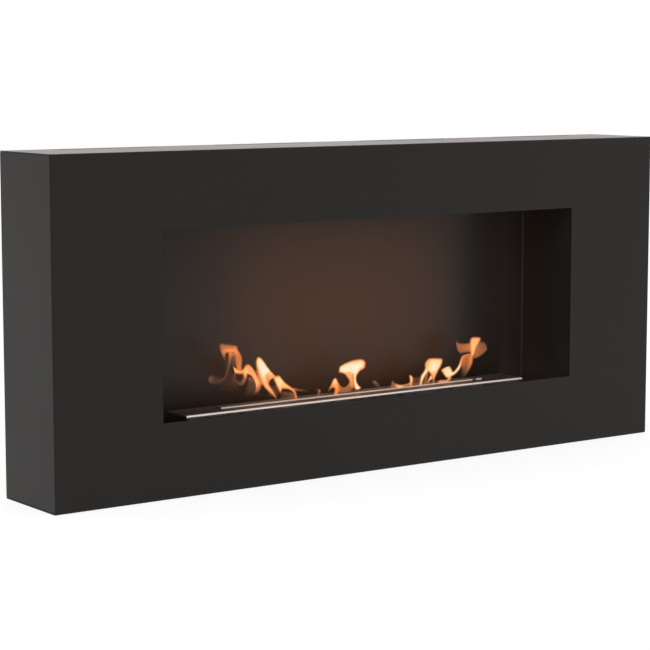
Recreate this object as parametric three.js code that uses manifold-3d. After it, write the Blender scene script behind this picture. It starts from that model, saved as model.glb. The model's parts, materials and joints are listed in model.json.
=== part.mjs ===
// Wall-hung bioethanol fireplace, in millimetres.
// X runs to the right as seen from the front, Y to the rear and Z up.
// The origin is the middle of the footprint, on the surface that the casing can stand on.

import * as THREE from 'three';
import { mergeVertices } from 'three/addons/utils/BufferGeometryUtils.js';
import Module from 'manifold-3d';

const wasm = await Module();
wasm.setup();

// Overall size
const width = 1200;
const height = 530;
const depth = 155;

// Clearance between pieces that lie on each other, and round a shank in its hole
const fitGap = 0.3;

// Casing: one sheet, its four sides folded back from the front
const caseSheet = 2;
const caseFoldRadius = 2.5;
const openingWidth = 826;
const openingHeight = 293;
const openingSill = 118.5;
const openingEdgeBreak = 0.4;
const cornerReliefRadius = 1.3;
const cornerSeamWidth = 0.8;
const cornerSeamDepth = 1.2;

// Slots in the top and bottom that let air up behind the niche
const ventCount = 4;
const ventPitch = 288;
const ventLength = 182;
const ventWidth = 8;
const ventFromRear = 24;
const ventEndRounding = 0.49;

// Niche: separate folded sheets behind the opening, set back from its edge
const nicheDepth = 127.5;
const nicheSetback = 2;
const nicheSheet = 1.5;
const nicheFlange = 12;
const nicheFoldRadius = 0.5;

// Heat shield behind the niche back
const shieldWidth = 790;
const shieldHeight = 330;
const shieldSheet = 1;
const shieldAirGap = 10;
const shieldFold = 8;
const standoffRadius = 5;
const standoffBoreDepth = 7;
const standoffSpacingX = 680;
const standoffSpacingZ = 250;

// Back panel, let into the rear of the casing
const panelSheet = 1.5;
const panelEdgeClearance = 0.6;
const tabLeg = 20;
const tabWidth = 34;
const tabSheet = 1.5;
const tabFoldRadius = 1.2;

// Pan-head screws of the back panel and the heat shield
const screwRadius = 2;
const screwHeadRadius = 4;
const screwHeadHeight = 2;
const screwTail = 5;

// Hanger plates on the back panel
const hangerWidth = 96;
const hangerHeight = 52;
const hangerThickness = 3;
const hangerCornerRadius = 5;
const hangerSpacing = 800;
const hangerDrop = 86;
const keyholeHeadRadius = 6.5;
const keyholeNeckRadius = 3.3;
const keyholeRise = 15;
const keyholeClearance = 5;
const rivetSpacing = 70;
const rivetRadius = 2;
const rivetHeadRadius = 3.8;
const rivetHeadDepth = 1.4;
const rivetUpsetRadius = 3.2;
const rivetUpsetLength = 2;

// Rubber buffers that keep the lower edge off the wall
const bufferRadius = 11;
const bufferChamfer = 0.6;
const bufferSpacing = 1000;
const bufferRise = 60;

// Supports between the casing's bottom and the burner shelf
const supportSheet = 2;
const supportFlange = 24;
const supportDepth = 70;
const supportSpacing = 480;
const supportFoldRadius = 2;

// Burner: tank with a lid-like top plate
const burnerLength = 688;
const burnerDepth = 58;
const burnerHeight = 58;
const burnerFromFront = 73.5;
const plateBelowSill = 0.5;
const plateSheet = 1.5;
const plateSkirt = 6;
const plateEdgeRadius = 4;
const tankSheet = 1.5;
const tankFoldRadius = 3;
const tankSideClearance = 0.7;

// Slot in the top plate, and the collar that stands round it
const slotLength = 517;
const slotWidth = 15;
const slotEndRadius = 4;
const collarThickness = 1.6;
const collarHeight = 2.1;
const collarEdgeBreak = 0.5;

// Shutter under the plate, which slides crosswise, and its rails and lug
const shutterSheet = 1.5;
const shutterLap = 1;
const shutterOpenClearance = 0.25;
const shutterEndLap = 29;
const lugLength = 12.8;
const lugThickness = 2.4;
const lugFromCollar = 3.1;
const lugRise = 2.4;
const lugFoot = 8;
const lugEarMargin = 3;
const railSheet = 1.5;
const railLip = 9;
const railFlange = 11;
const railFoldRadius = 0.8;

// Ceramic-fibre blocks in the tank
const fibreCount = 3;
const fibreSideClearance = 0.6;
const fibreJoint = 1;
const fibreBelowRail = 2.5;
const fibreEdgeRadius = 2;

// Cradles that locate the burner on the shelf
const cradleSheet = 1.5;
const cradleLength = 42;
const cradleWall = 16;
const cradleFoldRadius = 1;

// Places worked out from the sizes
const front = -depth / 2;
const rear = depth / 2;
const caseInnerHalf = width / 2 - caseSheet;
const panelBack = front + caseSheet;
const openingTop = openingSill + openingHeight;
const openingMiddle = openingSill + openingHeight / 2;
const openingHalf = openingWidth / 2;
const nicheHalf = openingHalf + nicheSetback;
const nicheTop = openingTop + nicheSetback;
const nicheBackY = front + nicheDepth;
const burnerY = front + burnerFromFront;
const plateTop = openingSill - plateBelowSill;
const underPlate = plateTop - plateSheet - fitGap;
const tankBottom = plateTop - burnerHeight;
const shelfTop = tankBottom - fitGap - cradleSheet - fitGap;
const tankLength = burnerLength - 2 * (plateSheet + tankSideClearance);
const tankDepth = burnerDepth - 2 * (plateSheet + tankSideClearance);
const shutterTop = underPlate;
const shutterBottom = shutterTop - shutterSheet;
const shutterWidth = slotWidth + 2 * shutterLap;
const shutterTravel = slotWidth + shutterLap + shutterOpenClearance;
const shutterLength = slotLength + 2 * shutterEndLap;
const railBottom = shutterBottom - fitGap - railSheet;
const rearPanelRear = rear - hangerThickness - fitGap;
const rearPanelFront = rearPanelRear - panelSheet;
const shieldFront = nicheBackY + nicheSheet + shieldAirGap;
const hangerZ = height - hangerDrop;

// The tank's rim ends below the inside of the bend round the plate's edge.
const bendRoom = Math.max(plateEdgeRadius - plateSheet - fitGap, 0);
const rimReach = Math.max(plateEdgeRadius - plateSheet - tankSideClearance, 0);
const tankTop = underPlate - bendRoom + Math.sqrt(bendRoom ** 2 - rimReach ** 2);

// The collar and the lug past its right end are centred together on the plate.
const slotMiddle = -(lugFromCollar + lugLength) / 2;
const lugMiddle = slotMiddle + slotLength / 2 + collarThickness + lugFromCollar + lugLength / 2;
const lugOffset = shutterTravel / 2;

// Geometry in and out of the boolean library

function toSolid(geometry) {
  const bare = geometry.clone();
  for (const name of Object.keys(bare.attributes)) {
    if (name !== 'position') bare.deleteAttribute(name);
  }
  const merged = mergeVertices(bare, 1e-4);
  return new wasm.Manifold(new wasm.Mesh({
    numProp: 3,
    vertProperties: new Float32Array(merged.attributes.position.array),
    triVerts: new Uint32Array(merged.index.array),
  }));
}

function toGeometry(solid) {
  const mesh = solid.getMesh();
  const geometry = new THREE.BufferGeometry();
  geometry.setAttribute('position', new THREE.BufferAttribute(mesh.vertProperties, 3));
  geometry.setIndex(new THREE.BufferAttribute(mesh.triVerts, 1));
  geometry.computeVertexNormals();
  return geometry;
}

// Outlines extruded along one axis. An outline along X is drawn in (y, z), along Y in (x, z)
// and along Z in (x, y).

const axisBasis = {
  x: [new THREE.Vector3(0, 1, 0), new THREE.Vector3(0, 0, 1), new THREE.Vector3(1, 0, 0)],
  y: [new THREE.Vector3(1, 0, 0), new THREE.Vector3(0, 0, 1), new THREE.Vector3(0, -1, 0)],
  z: [new THREE.Vector3(1, 0, 0), new THREE.Vector3(0, 1, 0), new THREE.Vector3(0, 0, 1)],
};

function extrude(shape, axis, from, to, curveSegments = 6) {
  const options = { depth: to - from, bevelEnabled: false, curveSegments };
  const geometry = new THREE.ExtrudeGeometry(shape, options);
  const [across, up, along] = axisBasis[axis];
  const place = new THREE.Matrix4().makeBasis(across, up, along);
  place.setPosition(along.clone().multiplyScalar(axis === 'y' ? -to : from));
  return geometry.applyMatrix4(place);
}

function extrudeSolid(shape, axis, from, to, curveSegments) {
  return toSolid(extrude(shape, axis, from, to, curveSegments));
}

function outline(points) {
  return new THREE.Shape(points.map(([u, v]) => new THREE.Vector2(u, v)));
}

// A rectangle with one radius, or with four: anticlockwise from its low corner.
function roundedRectangle(u0, u1, v0, v1, radii = 0) {
  const corners = [[u0, v0], [u1, v0], [u1, v1], [u0, v1]];
  const radiusOf = i => (Array.isArray(radii) ? radii[i] : radii);
  const shape = new THREE.Shape();
  corners.forEach(([u, v], i) => {
    const radius = radiusOf(i);
    const centreU = u + (u === u0 ? radius : -radius);
    const centreV = v + (v === v0 ? radius : -radius);
    const start = Math.PI * (1 + i / 2);
    if (radius) shape.absarc(centreU, centreV, radius, start, start + Math.PI / 2);
    else if (i) shape.lineTo(u, v);
    else shape.moveTo(u, v);
  });
  return shape;
}

// The section of a folded sheet: a strip of even thickness along a path of straight legs, with
// a round bend at each corner. The path is the middle of the sheet.
function sheetSection(path, thickness, innerRadius, bendSteps = 3) {
  const points = path.map(([u, v]) => new THREE.Vector2(u, v));
  const legs = points.slice(1).map((point, i) => point.clone().sub(points[i]).normalize());
  const normal = leg => new THREE.Vector2(-leg.y, leg.x);
  const half = thickness / 2;
  const bendRadius = innerRadius + half;
  const left = [];
  const right = [];
  const addEnd = (point, leg) => {
    left.push(point.clone().addScaledVector(normal(leg), half));
    right.push(point.clone().addScaledVector(normal(leg), -half));
  };
  addEnd(points[0], legs[0]);
  for (let i = 1; i < legs.length; i++) {
    const turn = Math.atan2(legs[i - 1].cross(legs[i]), legs[i - 1].dot(legs[i]));
    const side = Math.sign(turn);
    const setback = bendRadius * Math.tan(Math.abs(turn) / 2);
    const start = points[i].clone().addScaledVector(legs[i - 1], -setback);
    const centre = start.clone().addScaledVector(normal(legs[i - 1]), side * bendRadius);
    for (let step = 0; step <= bendSteps; step++) {
      const spoke = start.clone().rotateAround(centre, turn * step / bendSteps);
      spoke.sub(centre).normalize();
      left.push(centre.clone().addScaledVector(spoke, bendRadius - side * half));
      right.push(centre.clone().addScaledVector(spoke, bendRadius + side * half));
    }
  }
  addEnd(points.at(-1), legs.at(-1));
  return new THREE.Shape([...left, ...right.reverse()]);
}

// A block that is the common part of two extruded sections, one along Z drawn in (x, y) and one
// along X drawn in (y, z), so that the edges where they meet are mitred.
function crossedSections(plan, side, halfWidth, z0, z1, curveSegments) {
  return extrudeSolid(plan, 'z', z0, z1, curveSegments)
    .intersect(extrudeSolid(side, 'x', -halfWidth, halfWidth, curveSegments));
}

// A solid of revolution about Y from (radius, y) points that start and end on the axis.
function revolve(profile, segments) {
  return new THREE.LatheGeometry(profile.map(([r, y]) => new THREE.Vector2(r, y)), segments);
}

function roundBar(radius, y0, y1, segments = 12) {
  return revolve([[0, y0], [radius, y0], [radius, y1], [0, y1]], segments);
}

// Casing

function ventPositions() {
  return Array.from({ length: ventCount }, (_, i) => (i - (ventCount - 1) / 2) * ventPitch);
}

// What is cut out for the opening, wider at the front where its edge is broken.
function openingPlug() {
  const cut = (low, high) => [
    [low - openingEdgeBreak, front - 1],
    [high + openingEdgeBreak, front - 1],
    [high + openingEdgeBreak, front],
    [high, front + openingEdgeBreak],
    [high, panelBack + 1],
    [low, panelBack + 1],
    [low, front + openingEdgeBreak],
    [low - openingEdgeBreak, front],
  ];
  const plan = outline(cut(-openingHalf, openingHalf));
  const side = outline(cut(openingSill, openingTop).map(([z, y]) => [y, z]));
  const reach = 2 * openingEdgeBreak;
  return crossedSections(plan, side, openingHalf + reach, openingSill - reach, openingTop + reach);
}

// A block whose four front edges are rounded.
function foldedBlock(halfWidth, y0, y1, z0, z1, radius) {
  const plan = roundedRectangle(-halfWidth, halfWidth, y0, y1, [radius, radius, 0, 0]);
  const side = roundedRectangle(y0, y1, z0, z1, [radius, 0, 0, radius]);
  return crossedSections(plan, side, halfWidth, z0, z1, 4);
}

function casing() {
  const outer = foldedBlock(width / 2, front, rear, 0, height, caseFoldRadius);
  const inner = foldedBlock(caseInnerHalf, panelBack, rear + 1, caseSheet, height - caseSheet,
    caseFoldRadius - caseSheet);
  let shell = outer.subtract(inner).subtract(openingPlug());
  const ventY = rear - ventFromRear;
  for (const x of ventPositions()) {
    const slot = roundedRectangle(x - ventLength / 2, x + ventLength / 2,
      ventY - ventWidth / 2, ventY + ventWidth / 2, ventWidth * ventEndRounding);
    shell = shell.subtract(extrudeSolid(slot, 'z', -1, height + 1, 3));
  }
  const reliefReach = 2 * caseFoldRadius;
  const sideFace = width / 2;
  for (const sideways of [-1, 1]) {
    for (const [z, up] of [[0, -1], [height, 1]]) {
      const outward = new THREE.Vector3(sideways, -1, up).normalize();
      const relief = roundBar(cornerReliefRadius, -reliefReach, reliefReach, 8);
      relief.applyQuaternion(new THREE.Quaternion()
        .setFromUnitVectors(new THREE.Vector3(0, 1, 0), outward));
      relief.translate(sideways * sideFace, front, z);
      const seamZ = z - up * caseSheet;
      const [near, far] = [sideFace - cornerSeamDepth, sideFace + 1];
      const seam = roundedRectangle(Math.min(sideways * near, sideways * far),
        Math.max(sideways * near, sideways * far),
        seamZ - cornerSeamWidth / 2, seamZ + cornerSeamWidth / 2);
      shell = shell.subtract(toSolid(relief))
        .subtract(extrudeSolid(seam, 'y', front + caseFoldRadius, rear + 1));
    }
  }
  return toGeometry(shell);
}

// Niche sheets

const nicheFrontLine = panelBack + fitGap + nicheSheet / 2;
const nicheRearLine = nicheBackY - fitGap - nicheSheet / 2;

function nicheSideWall(side) {
  const wall = side * (nicheHalf + nicheSheet / 2);
  const lip = side * (nicheHalf + nicheSheet + nicheFlange);
  const section = sheetSection(
    [[lip, nicheFrontLine], [wall, nicheFrontLine], [wall, nicheRearLine], [lip, nicheRearLine]],
    nicheSheet, nicheFoldRadius);
  return extrude(section, 'z', shelfTop - nicheSheet, nicheTop + nicheSheet);
}

// The ceiling's flanges stand up and the shelf's hang down, clear of the fire space.
function nicheLevelSheet(surface, outward) {
  const line = surface + outward * nicheSheet / 2;
  const lip = surface + outward * (nicheSheet + nicheFlange);
  const section = sheetSection(
    [[nicheFrontLine, lip], [nicheFrontLine, line], [nicheRearLine, line], [nicheRearLine, lip]],
    nicheSheet, nicheFoldRadius);
  return extrude(section, 'x', -nicheHalf + fitGap, nicheHalf - fitGap);
}

function nicheBack() {
  const reach = nicheSheet + nicheFlange;
  const sheet = roundedRectangle(-nicheHalf - reach, nicheHalf + reach,
    shelfTop - reach, nicheTop + reach, nicheFlange / 2);
  return extrude(sheet, 'y', nicheBackY, nicheBackY + nicheSheet, 4);
}

// Screws and standoffs, drawn about Y with the head to the rear and its seat at y = 0

function panScrew(grip) {
  const tip = -(grip + screwTail);
  return revolve([
    [0, tip],
    [screwRadius * 0.5, tip],
    [screwRadius, tip + screwRadius],
    [screwRadius, fitGap],
    [screwHeadRadius, fitGap],
    [screwHeadRadius, fitGap + screwHeadHeight * 0.5],
    [screwHeadRadius * 0.7, fitGap + screwHeadHeight],
    [0, fitGap + screwHeadHeight],
  ], 12);
}

function standoff() {
  const length = shieldAirGap - 2 * fitGap;
  const bore = screwRadius + fitGap;
  return revolve([
    [0, 0],
    [standoffRadius, 0],
    [standoffRadius, length],
    [bore, length],
    [bore, length - standoffBoreDepth],
    [0, length - standoffBoreDepth],
  ], 12);
}

function standoffPlaces() {
  return [
    ['upper_left', -1, 1],
    ['upper_right', 1, 1],
    ['lower_left', -1, -1],
    ['lower_right', 1, -1],
  ].map(([place, sideways, up]) => [
    place,
    sideways * standoffSpacingX / 2,
    openingMiddle + up * standoffSpacingZ / 2,
  ]);
}

function heatShield() {
  const line = shieldFront + shieldSheet / 2;
  const low = openingMiddle - shieldHeight / 2;
  const high = openingMiddle + shieldHeight / 2;
  const section = sheetSection(
    [[line + shieldFold, low], [line, low], [line, high], [line + shieldFold, high]],
    shieldSheet, shieldSheet);
  let shield = extrudeSolid(section, 'x', -shieldWidth / 2, shieldWidth / 2);
  for (const [, x, z] of standoffPlaces()) {
    const hole = roundBar(screwRadius + fitGap, shieldFront - 1, shieldFront + shieldSheet + 1);
    shield = shield.subtract(toSolid(hole.translate(x, 0, z)));
  }
  return toGeometry(shield);
}

// Back panel, its tabs and its fixings

// Each tab: name, x and z of its return's inner face, and the turn that faces it outwards. Those
// at the top and bottom stand midway between two vents.
function tabPlaces() {
  const places = [];
  const vents = ventPositions();
  const bayMiddles = vents.slice(1).map((x, i) => (x + vents[i]) / 2);
  bayMiddles.forEach((x, i) => {
    places.push([`top_${i + 1}`, x, height - caseSheet, 0]);
    places.push([`bottom_${i + 1}`, x, caseSheet, Math.PI]);
  });
  places.push(['left', -caseInnerHalf, height / 2, -Math.PI / 2]);
  places.push(['right', caseInnerHalf, height / 2, Math.PI / 2]);
  return places;
}

// The screw sits in the middle of the tab's leg behind the panel.
const tabScrewDrop = tabLeg / 2 + tabSheet;

// Drawn for the top: the return's inner face is z = 0 and the panel's front face y = 0.
function panelTab() {
  const line = -fitGap - tabSheet / 2;
  const section = sheetSection([[line - tabLeg, line], [line, line], [line, line - tabLeg]],
    tabSheet, tabFoldRadius);
  const angle = extrudeSolid(section, 'x', -tabWidth / 2, tabWidth / 2);
  const hole = roundBar(screwRadius + fitGap, line - tabSheet, line + tabSheet);
  return toGeometry(angle.subtract(toSolid(hole.translate(0, 0, -tabScrewDrop))));
}

function tabScrewPosition([, x, z, turn]) {
  return [x - Math.sin(turn) * tabScrewDrop, z - Math.cos(turn) * tabScrewDrop];
}

function hangerPlaces() {
  return [['left', -hangerSpacing / 2], ['right', hangerSpacing / 2]];
}

function keyhole(headRadius, neckRadius) {
  const join = Math.sqrt(headRadius ** 2 - neckRadius ** 2);
  const joinAngle = Math.atan2(join, neckRadius);
  const path = new THREE.Path();
  path.moveTo(neckRadius, join);
  path.lineTo(neckRadius, keyholeRise);
  path.absarc(0, keyholeRise, neckRadius, 0, Math.PI);
  path.lineTo(-neckRadius, join);
  path.absarc(0, 0, headRadius, Math.PI - joinAngle, joinAngle + 2 * Math.PI);
  return path;
}

// A countersunk head and shank, grown by a clearance for the hole that it sits in.
function countersunkBar(extra, y0) {
  return revolve([
    [0, y0],
    [rivetRadius + extra, y0],
    [rivetRadius + extra, -rivetHeadDepth - extra],
    [rivetHeadRadius + extra, 0],
    [rivetHeadRadius + extra, extra],
    [0, extra],
  ], 12);
}

// Drawn with the wall side at y = 0 and the keyhole's wide part at the origin.
function hangerPlate() {
  const low = -hangerHeight / 2 + keyholeRise / 2;
  const face = roundedRectangle(-hangerWidth / 2, hangerWidth / 2,
    low, low + hangerHeight, hangerCornerRadius);
  face.holes.push(keyhole(keyholeHeadRadius, keyholeNeckRadius));
  let plate = extrudeSolid(face, 'y', -hangerThickness, 0, 5);
  for (const sideways of [-1, 1]) {
    const hole = countersunkBar(fitGap, -hangerThickness - 1);
    hole.translate(sideways * rivetSpacing / 2, 0, keyholeRise / 2);
    plate = plate.subtract(toSolid(hole));
  }
  return toGeometry(plate);
}

function hangerRivet() {
  const inside = -(hangerThickness + fitGap + panelSheet + fitGap);
  return revolve([
    [0, inside - rivetUpsetLength],
    [rivetUpsetRadius, inside - rivetUpsetLength],
    [rivetUpsetRadius, inside],
    [rivetRadius, inside],
    [rivetRadius, -rivetHeadDepth],
    [rivetHeadRadius, 0],
    [0, 0],
  ], 12);
}

function backPanel() {
  const reach = caseInnerHalf - panelEdgeClearance;
  const face = roundedRectangle(-reach, reach,
    caseSheet + panelEdgeClearance, height - caseSheet - panelEdgeClearance);
  for (const [, x] of hangerPlaces()) {
    const half = keyholeHeadRadius + keyholeClearance;
    face.holes.push(roundedRectangle(x - half, x + half,
      hangerZ - half, hangerZ + keyholeRise + half, half));
  }
  let panel = extrudeSolid(face, 'y', rearPanelFront, rearPanelRear, 4);
  const drill = (radius, x, z) => {
    const hole = roundBar(radius + fitGap, rearPanelFront - 1, rearPanelRear + 1);
    panel = panel.subtract(toSolid(hole.translate(x, 0, z)));
  };
  for (const place of tabPlaces()) {
    const [x, z] = tabScrewPosition(place);
    drill(screwRadius, x, z);
  }
  for (const [, x] of hangerPlaces()) {
    drill(rivetRadius, x - rivetSpacing / 2, hangerZ + keyholeRise / 2);
    drill(rivetRadius, x + rivetSpacing / 2, hangerZ + keyholeRise / 2);
  }
  return toGeometry(panel);
}

function wallBuffer() {
  return revolve([
    [0, -hangerThickness],
    [bufferRadius, -hangerThickness],
    [bufferRadius, -bufferChamfer],
    [bufferRadius - bufferChamfer, 0],
    [0, 0],
  ], 24);
}

// Shelf support: a folded Z between the casing's bottom and the shelf

function shelfSupport() {
  const low = caseSheet + fitGap + supportSheet / 2;
  const high = shelfTop - nicheSheet - fitGap - supportSheet / 2;
  const section = sheetSection([[-supportFlange, low], [0, low], [0, high], [supportFlange, high]],
    supportSheet, supportFoldRadius);
  return extrude(section, 'y', burnerY - supportDepth / 2, burnerY + supportDepth / 2);
}

// Cradle: a folded channel across the burner, closed at its outer end. Drawn for the left.

function burnerCradle() {
  const half = tankDepth / 2 + fitGap + cradleSheet / 2;
  const low = shelfTop + fitGap;
  const line = low + cradleSheet / 2;
  const section = sheetSection(
    [[-half, low + cradleWall], [-half, line], [half, line], [half, low + cradleWall]],
    cradleSheet, cradleFoldRadius);
  const outerEnd = -tankLength / 2 - fitGap - cradleSheet;
  const channel = extrudeSolid(section, 'x', outerEnd, outerEnd + cradleLength);
  const wall = half + cradleSheet / 2;
  const corner = cradleFoldRadius + cradleSheet;
  const endWall = roundedRectangle(-wall, wall, low, low + cradleWall, [corner, corner, 0, 0]);
  return toGeometry(channel.add(extrudeSolid(endWall, 'x', outerEnd, outerEnd + cradleSheet, 3)));
}

// Burner, drawn with its middle at x = 0, y = 0 and its height as it stands in the casing

// An open pan, either way up, its closed side's edges rounded.
function foldedPan(length, breadth, z0, z1, sheet, radius, openAt, bendSteps) {
  const up = openAt === 'top';
  const block = (inset, low, high, edge) => {
    const corners = up ? [edge, edge, 0, 0] : [0, 0, edge, edge];
    const halfLength = length / 2 - inset;
    const halfBreadth = breadth / 2 - inset;
    const endOn = roundedRectangle(-halfBreadth, halfBreadth, low, high, corners);
    const faceOn = roundedRectangle(-halfLength, halfLength, low, high, corners);
    return extrudeSolid(endOn, 'x', -halfLength, halfLength, bendSteps)
      .intersect(extrudeSolid(faceOn, 'y', -halfBreadth, halfBreadth, bendSteps));
  };
  const innerEdge = Math.max(radius - sheet, 0);
  const hollow = up ? [z0 + sheet, z1 + 1] : [z0 - 1, z1 - sheet];
  return block(0, z0, z1, radius).subtract(block(sheet, ...hollow, innerEdge));
}

function burnerTank() {
  return toGeometry(
    foldedPan(tankLength, tankDepth, tankBottom, tankTop, tankSheet, tankFoldRadius, 'top', 3));
}

function burnerTopPlate() {
  const underside = plateTop - plateSheet;
  const lid = foldedPan(burnerLength, burnerDepth, plateTop - plateSkirt, plateTop, plateSheet,
    plateEdgeRadius, 'bottom', 6);
  const ring = (grow, radius) => roundedRectangle(
    slotMiddle - slotLength / 2 - grow, slotMiddle + slotLength / 2 + grow,
    -slotWidth / 2 - grow, slotWidth / 2 + grow, radius);
  const rim = collarThickness - collarEdgeBreak;
  const outerRadius = slotEndRadius + collarThickness;
  const collar = extrudeSolid(ring(collarThickness, outerRadius), 'z',
    underside, plateTop + collarHeight - collarEdgeBreak, 4);
  const collarRim = extrudeSolid(ring(rim, outerRadius - collarEdgeBreak), 'z',
    underside, plateTop + collarHeight, 4);
  const slot = extrudeSolid(ring(0, slotEndRadius), 'z', underside - 1,
    plateTop + collarHeight + 1, 4);
  const lugSlotHalf = lugLength / 2 + 2 * fitGap;
  const lugReach = lugThickness / 2 + 2 * fitGap;
  const lugSlot = roundedRectangle(lugMiddle - lugSlotHalf, lugMiddle + lugSlotHalf,
    -shutterTravel / 2 - lugReach, shutterTravel / 2 + lugReach, 1);
  const cut = extrudeSolid(lugSlot, 'z', underside - 1, plateTop + 1, 2);
  return toGeometry(lid.add(collar).add(collarRim).subtract(slot).subtract(cut));
}

function fibreBlock() {
  const blockLength = fibreLength();
  const half = tankDepth / 2 - tankSheet - fibreSideClearance;
  const section = roundedRectangle(-half, half, tankBottom + tankSheet + fitGap,
    railBottom - fibreBelowRail, [fibreEdgeRadius, fibreEdgeRadius, 0, 0]);
  return extrude(section, 'x', -blockLength / 2, blockLength / 2, 3);
}

function fibreLength() {
  const room = tankLength - 2 * (tankSheet + fibreSideClearance);
  return (room - (fibreCount - 1) * fibreJoint) / fibreCount;
}

// The rail is a folded Z: a flange under the plate, and a lip under the shutter's end.
function shutterRail(side) {
  const web = slotMiddle + side * (shutterLength / 2 + fitGap + railSheet / 2);
  const high = underPlate - railSheet / 2;
  const low = railBottom + railSheet / 2;
  const section = sheetSection([
    [web + side * railFlange, high],
    [web, high],
    [web, low],
    [web - side * railLip, low],
  ], railSheet, railFoldRadius);
  const reach = tankDepth / 2 - tankSheet - fitGap;
  return extrude(section, 'y', -reach, reach);
}

// Shutter, drawn closed, with its middle under the slot. An ear past the slot's end carries the
// lug, which lies in line with the collar's front rim when open and its rear rim when closed.

function shutterPlate() {
  const half = shutterLength / 2;
  const strip = roundedRectangle(slotMiddle - half, slotMiddle + half,
    -shutterWidth / 2, shutterWidth / 2, 1);
  const holeX = lugLength / 2 + fitGap;
  const holeY = lugThickness / 2 + fitGap;
  const earX = holeX + lugEarMargin;
  const earRadius = lugEarMargin / 2;
  const ear = roundedRectangle(lugMiddle - earX, lugMiddle + earX,
    0, lugOffset + holeY + lugEarMargin, [0, 0, earRadius, earRadius]);
  const hole = roundedRectangle(lugMiddle - holeX, lugMiddle + holeX,
    lugOffset - holeY, lugOffset + holeY);
  return toGeometry(extrudeSolid(strip, 'z', shutterBottom, shutterTop, 3)
    .add(extrudeSolid(ear, 'z', shutterBottom, shutterTop, 3))
    .subtract(extrudeSolid(hole, 'z', shutterBottom - 1, shutterTop + 1)));
}

function shutterLug() {
  const half = lugLength / 2;
  const footTop = shutterBottom - fitGap;
  const upright = roundedRectangle(-half, half, footTop - shutterSheet, plateTop + lugRise,
    [0, 0, 1, 1]);
  const tab = extrudeSolid(upright, 'y', -lugThickness / 2, lugThickness / 2, 3);
  const foot = roundedRectangle(-half, half, -lugFoot / 2, lugFoot / 2, 1);
  const sole = extrudeSolid(foot, 'z', footTop - shutterSheet, footTop, 3);
  return toGeometry(tab.add(sole).translate(lugMiddle, lugOffset, 0));
}

// Finishes

const finishes = {
  powderCoat: { color: 0x2d2b2a, roughness: 0.55, metalness: 0.1 },
  nicheCoat: { color: 0x2b221d, roughness: 0.6, metalness: 0.1 },
  stainless: { color: 0x9a958f, roughness: 0.3, metalness: 0.9 },
  zincSteel: { color: 0x8d9093, roughness: 0.45, metalness: 0.8 },
  fibre: { color: 0xe8e2d6, roughness: 1, metalness: 0 },
  rubber: { color: 0x141414, roughness: 0.9, metalness: 0 },
};

function mesh(name, geometry, finish) {
  const piece = new THREE.Mesh(geometry, new THREE.MeshStandardMaterial(finishes[finish]));
  piece.name = name;
  return piece;
}

// Assembly

const fireplace = new THREE.Group();
const niche = new THREE.Group();
const rearGroup = new THREE.Group();
const burner = new THREE.Group();
const shutter = new THREE.Group();

fireplace.add(mesh('casing', casing(), 'powderCoat'));

niche.add(mesh('niche_left_wall', nicheSideWall(-1), 'nicheCoat'));
niche.add(mesh('niche_right_wall', nicheSideWall(1), 'nicheCoat'));
niche.add(mesh('niche_ceiling', nicheLevelSheet(nicheTop, 1), 'nicheCoat'));
niche.add(mesh('burner_shelf', nicheLevelSheet(shelfTop, -1), 'nicheCoat'));
niche.add(mesh('niche_back', nicheBack(), 'nicheCoat'));
for (const [side, sideways] of [['left', -1], ['right', 1]]) {
  const support = mesh(`shelf_support_${side}`, shelfSupport(), 'zincSteel');
  support.position.x = sideways * supportSpacing / 2;
  const cradle = mesh(`burner_cradle_${side}`, burnerCradle(), 'zincSteel');
  cradle.position.y = burnerY;
  cradle.rotation.z = sideways < 0 ? 0 : Math.PI;
  niche.add(support, cradle);
}

rearGroup.add(mesh('heat_shield', heatShield(), 'zincSteel'));
for (const [place, x, z] of standoffPlaces()) {
  const post = mesh(`shield_standoff_${place}`, standoff(), 'zincSteel');
  post.position.set(x, nicheBackY + nicheSheet + fitGap, z);
  const screw = mesh(`shield_screw_${place}`, panScrew(shieldSheet), 'zincSteel');
  screw.position.set(x, shieldFront + shieldSheet, z);
  rearGroup.add(post, screw);
}

rearGroup.add(mesh('back_panel', backPanel(), 'powderCoat'));
for (const place of tabPlaces()) {
  const [name, x, z, turn] = place;
  const tab = mesh(`panel_tab_${name}`, panelTab(), 'powderCoat');
  tab.position.set(x, rearPanelFront, z);
  tab.rotation.y = turn;
  const screw = mesh(`panel_screw_${name}`, panScrew(panelSheet + fitGap + tabSheet), 'zincSteel');
  const [screwX, screwZ] = tabScrewPosition(place);
  screw.position.set(screwX, rearPanelRear, screwZ);
  rearGroup.add(tab, screw);
}
for (const [side, x] of hangerPlaces()) {
  const plate = mesh(`hanger_plate_${side}`, hangerPlate(), 'zincSteel');
  plate.position.set(x, rear, hangerZ);
  rearGroup.add(plate);
  for (const [end, sideways] of [[1, -1], [2, 1]]) {
    const rivet = mesh(`hanger_rivet_${side}_${end}`, hangerRivet(), 'zincSteel');
    rivet.position.set(x + sideways * rivetSpacing / 2, rear, hangerZ + keyholeRise / 2);
    rearGroup.add(rivet);
  }
}
for (const [side, sideways] of [['left', -1], ['right', 1]]) {
  const buffer = mesh(`wall_buffer_${side}`, wallBuffer(), 'rubber');
  buffer.position.set(sideways * bufferSpacing / 2, rear, bufferRise);
  rearGroup.add(buffer);
}

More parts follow.
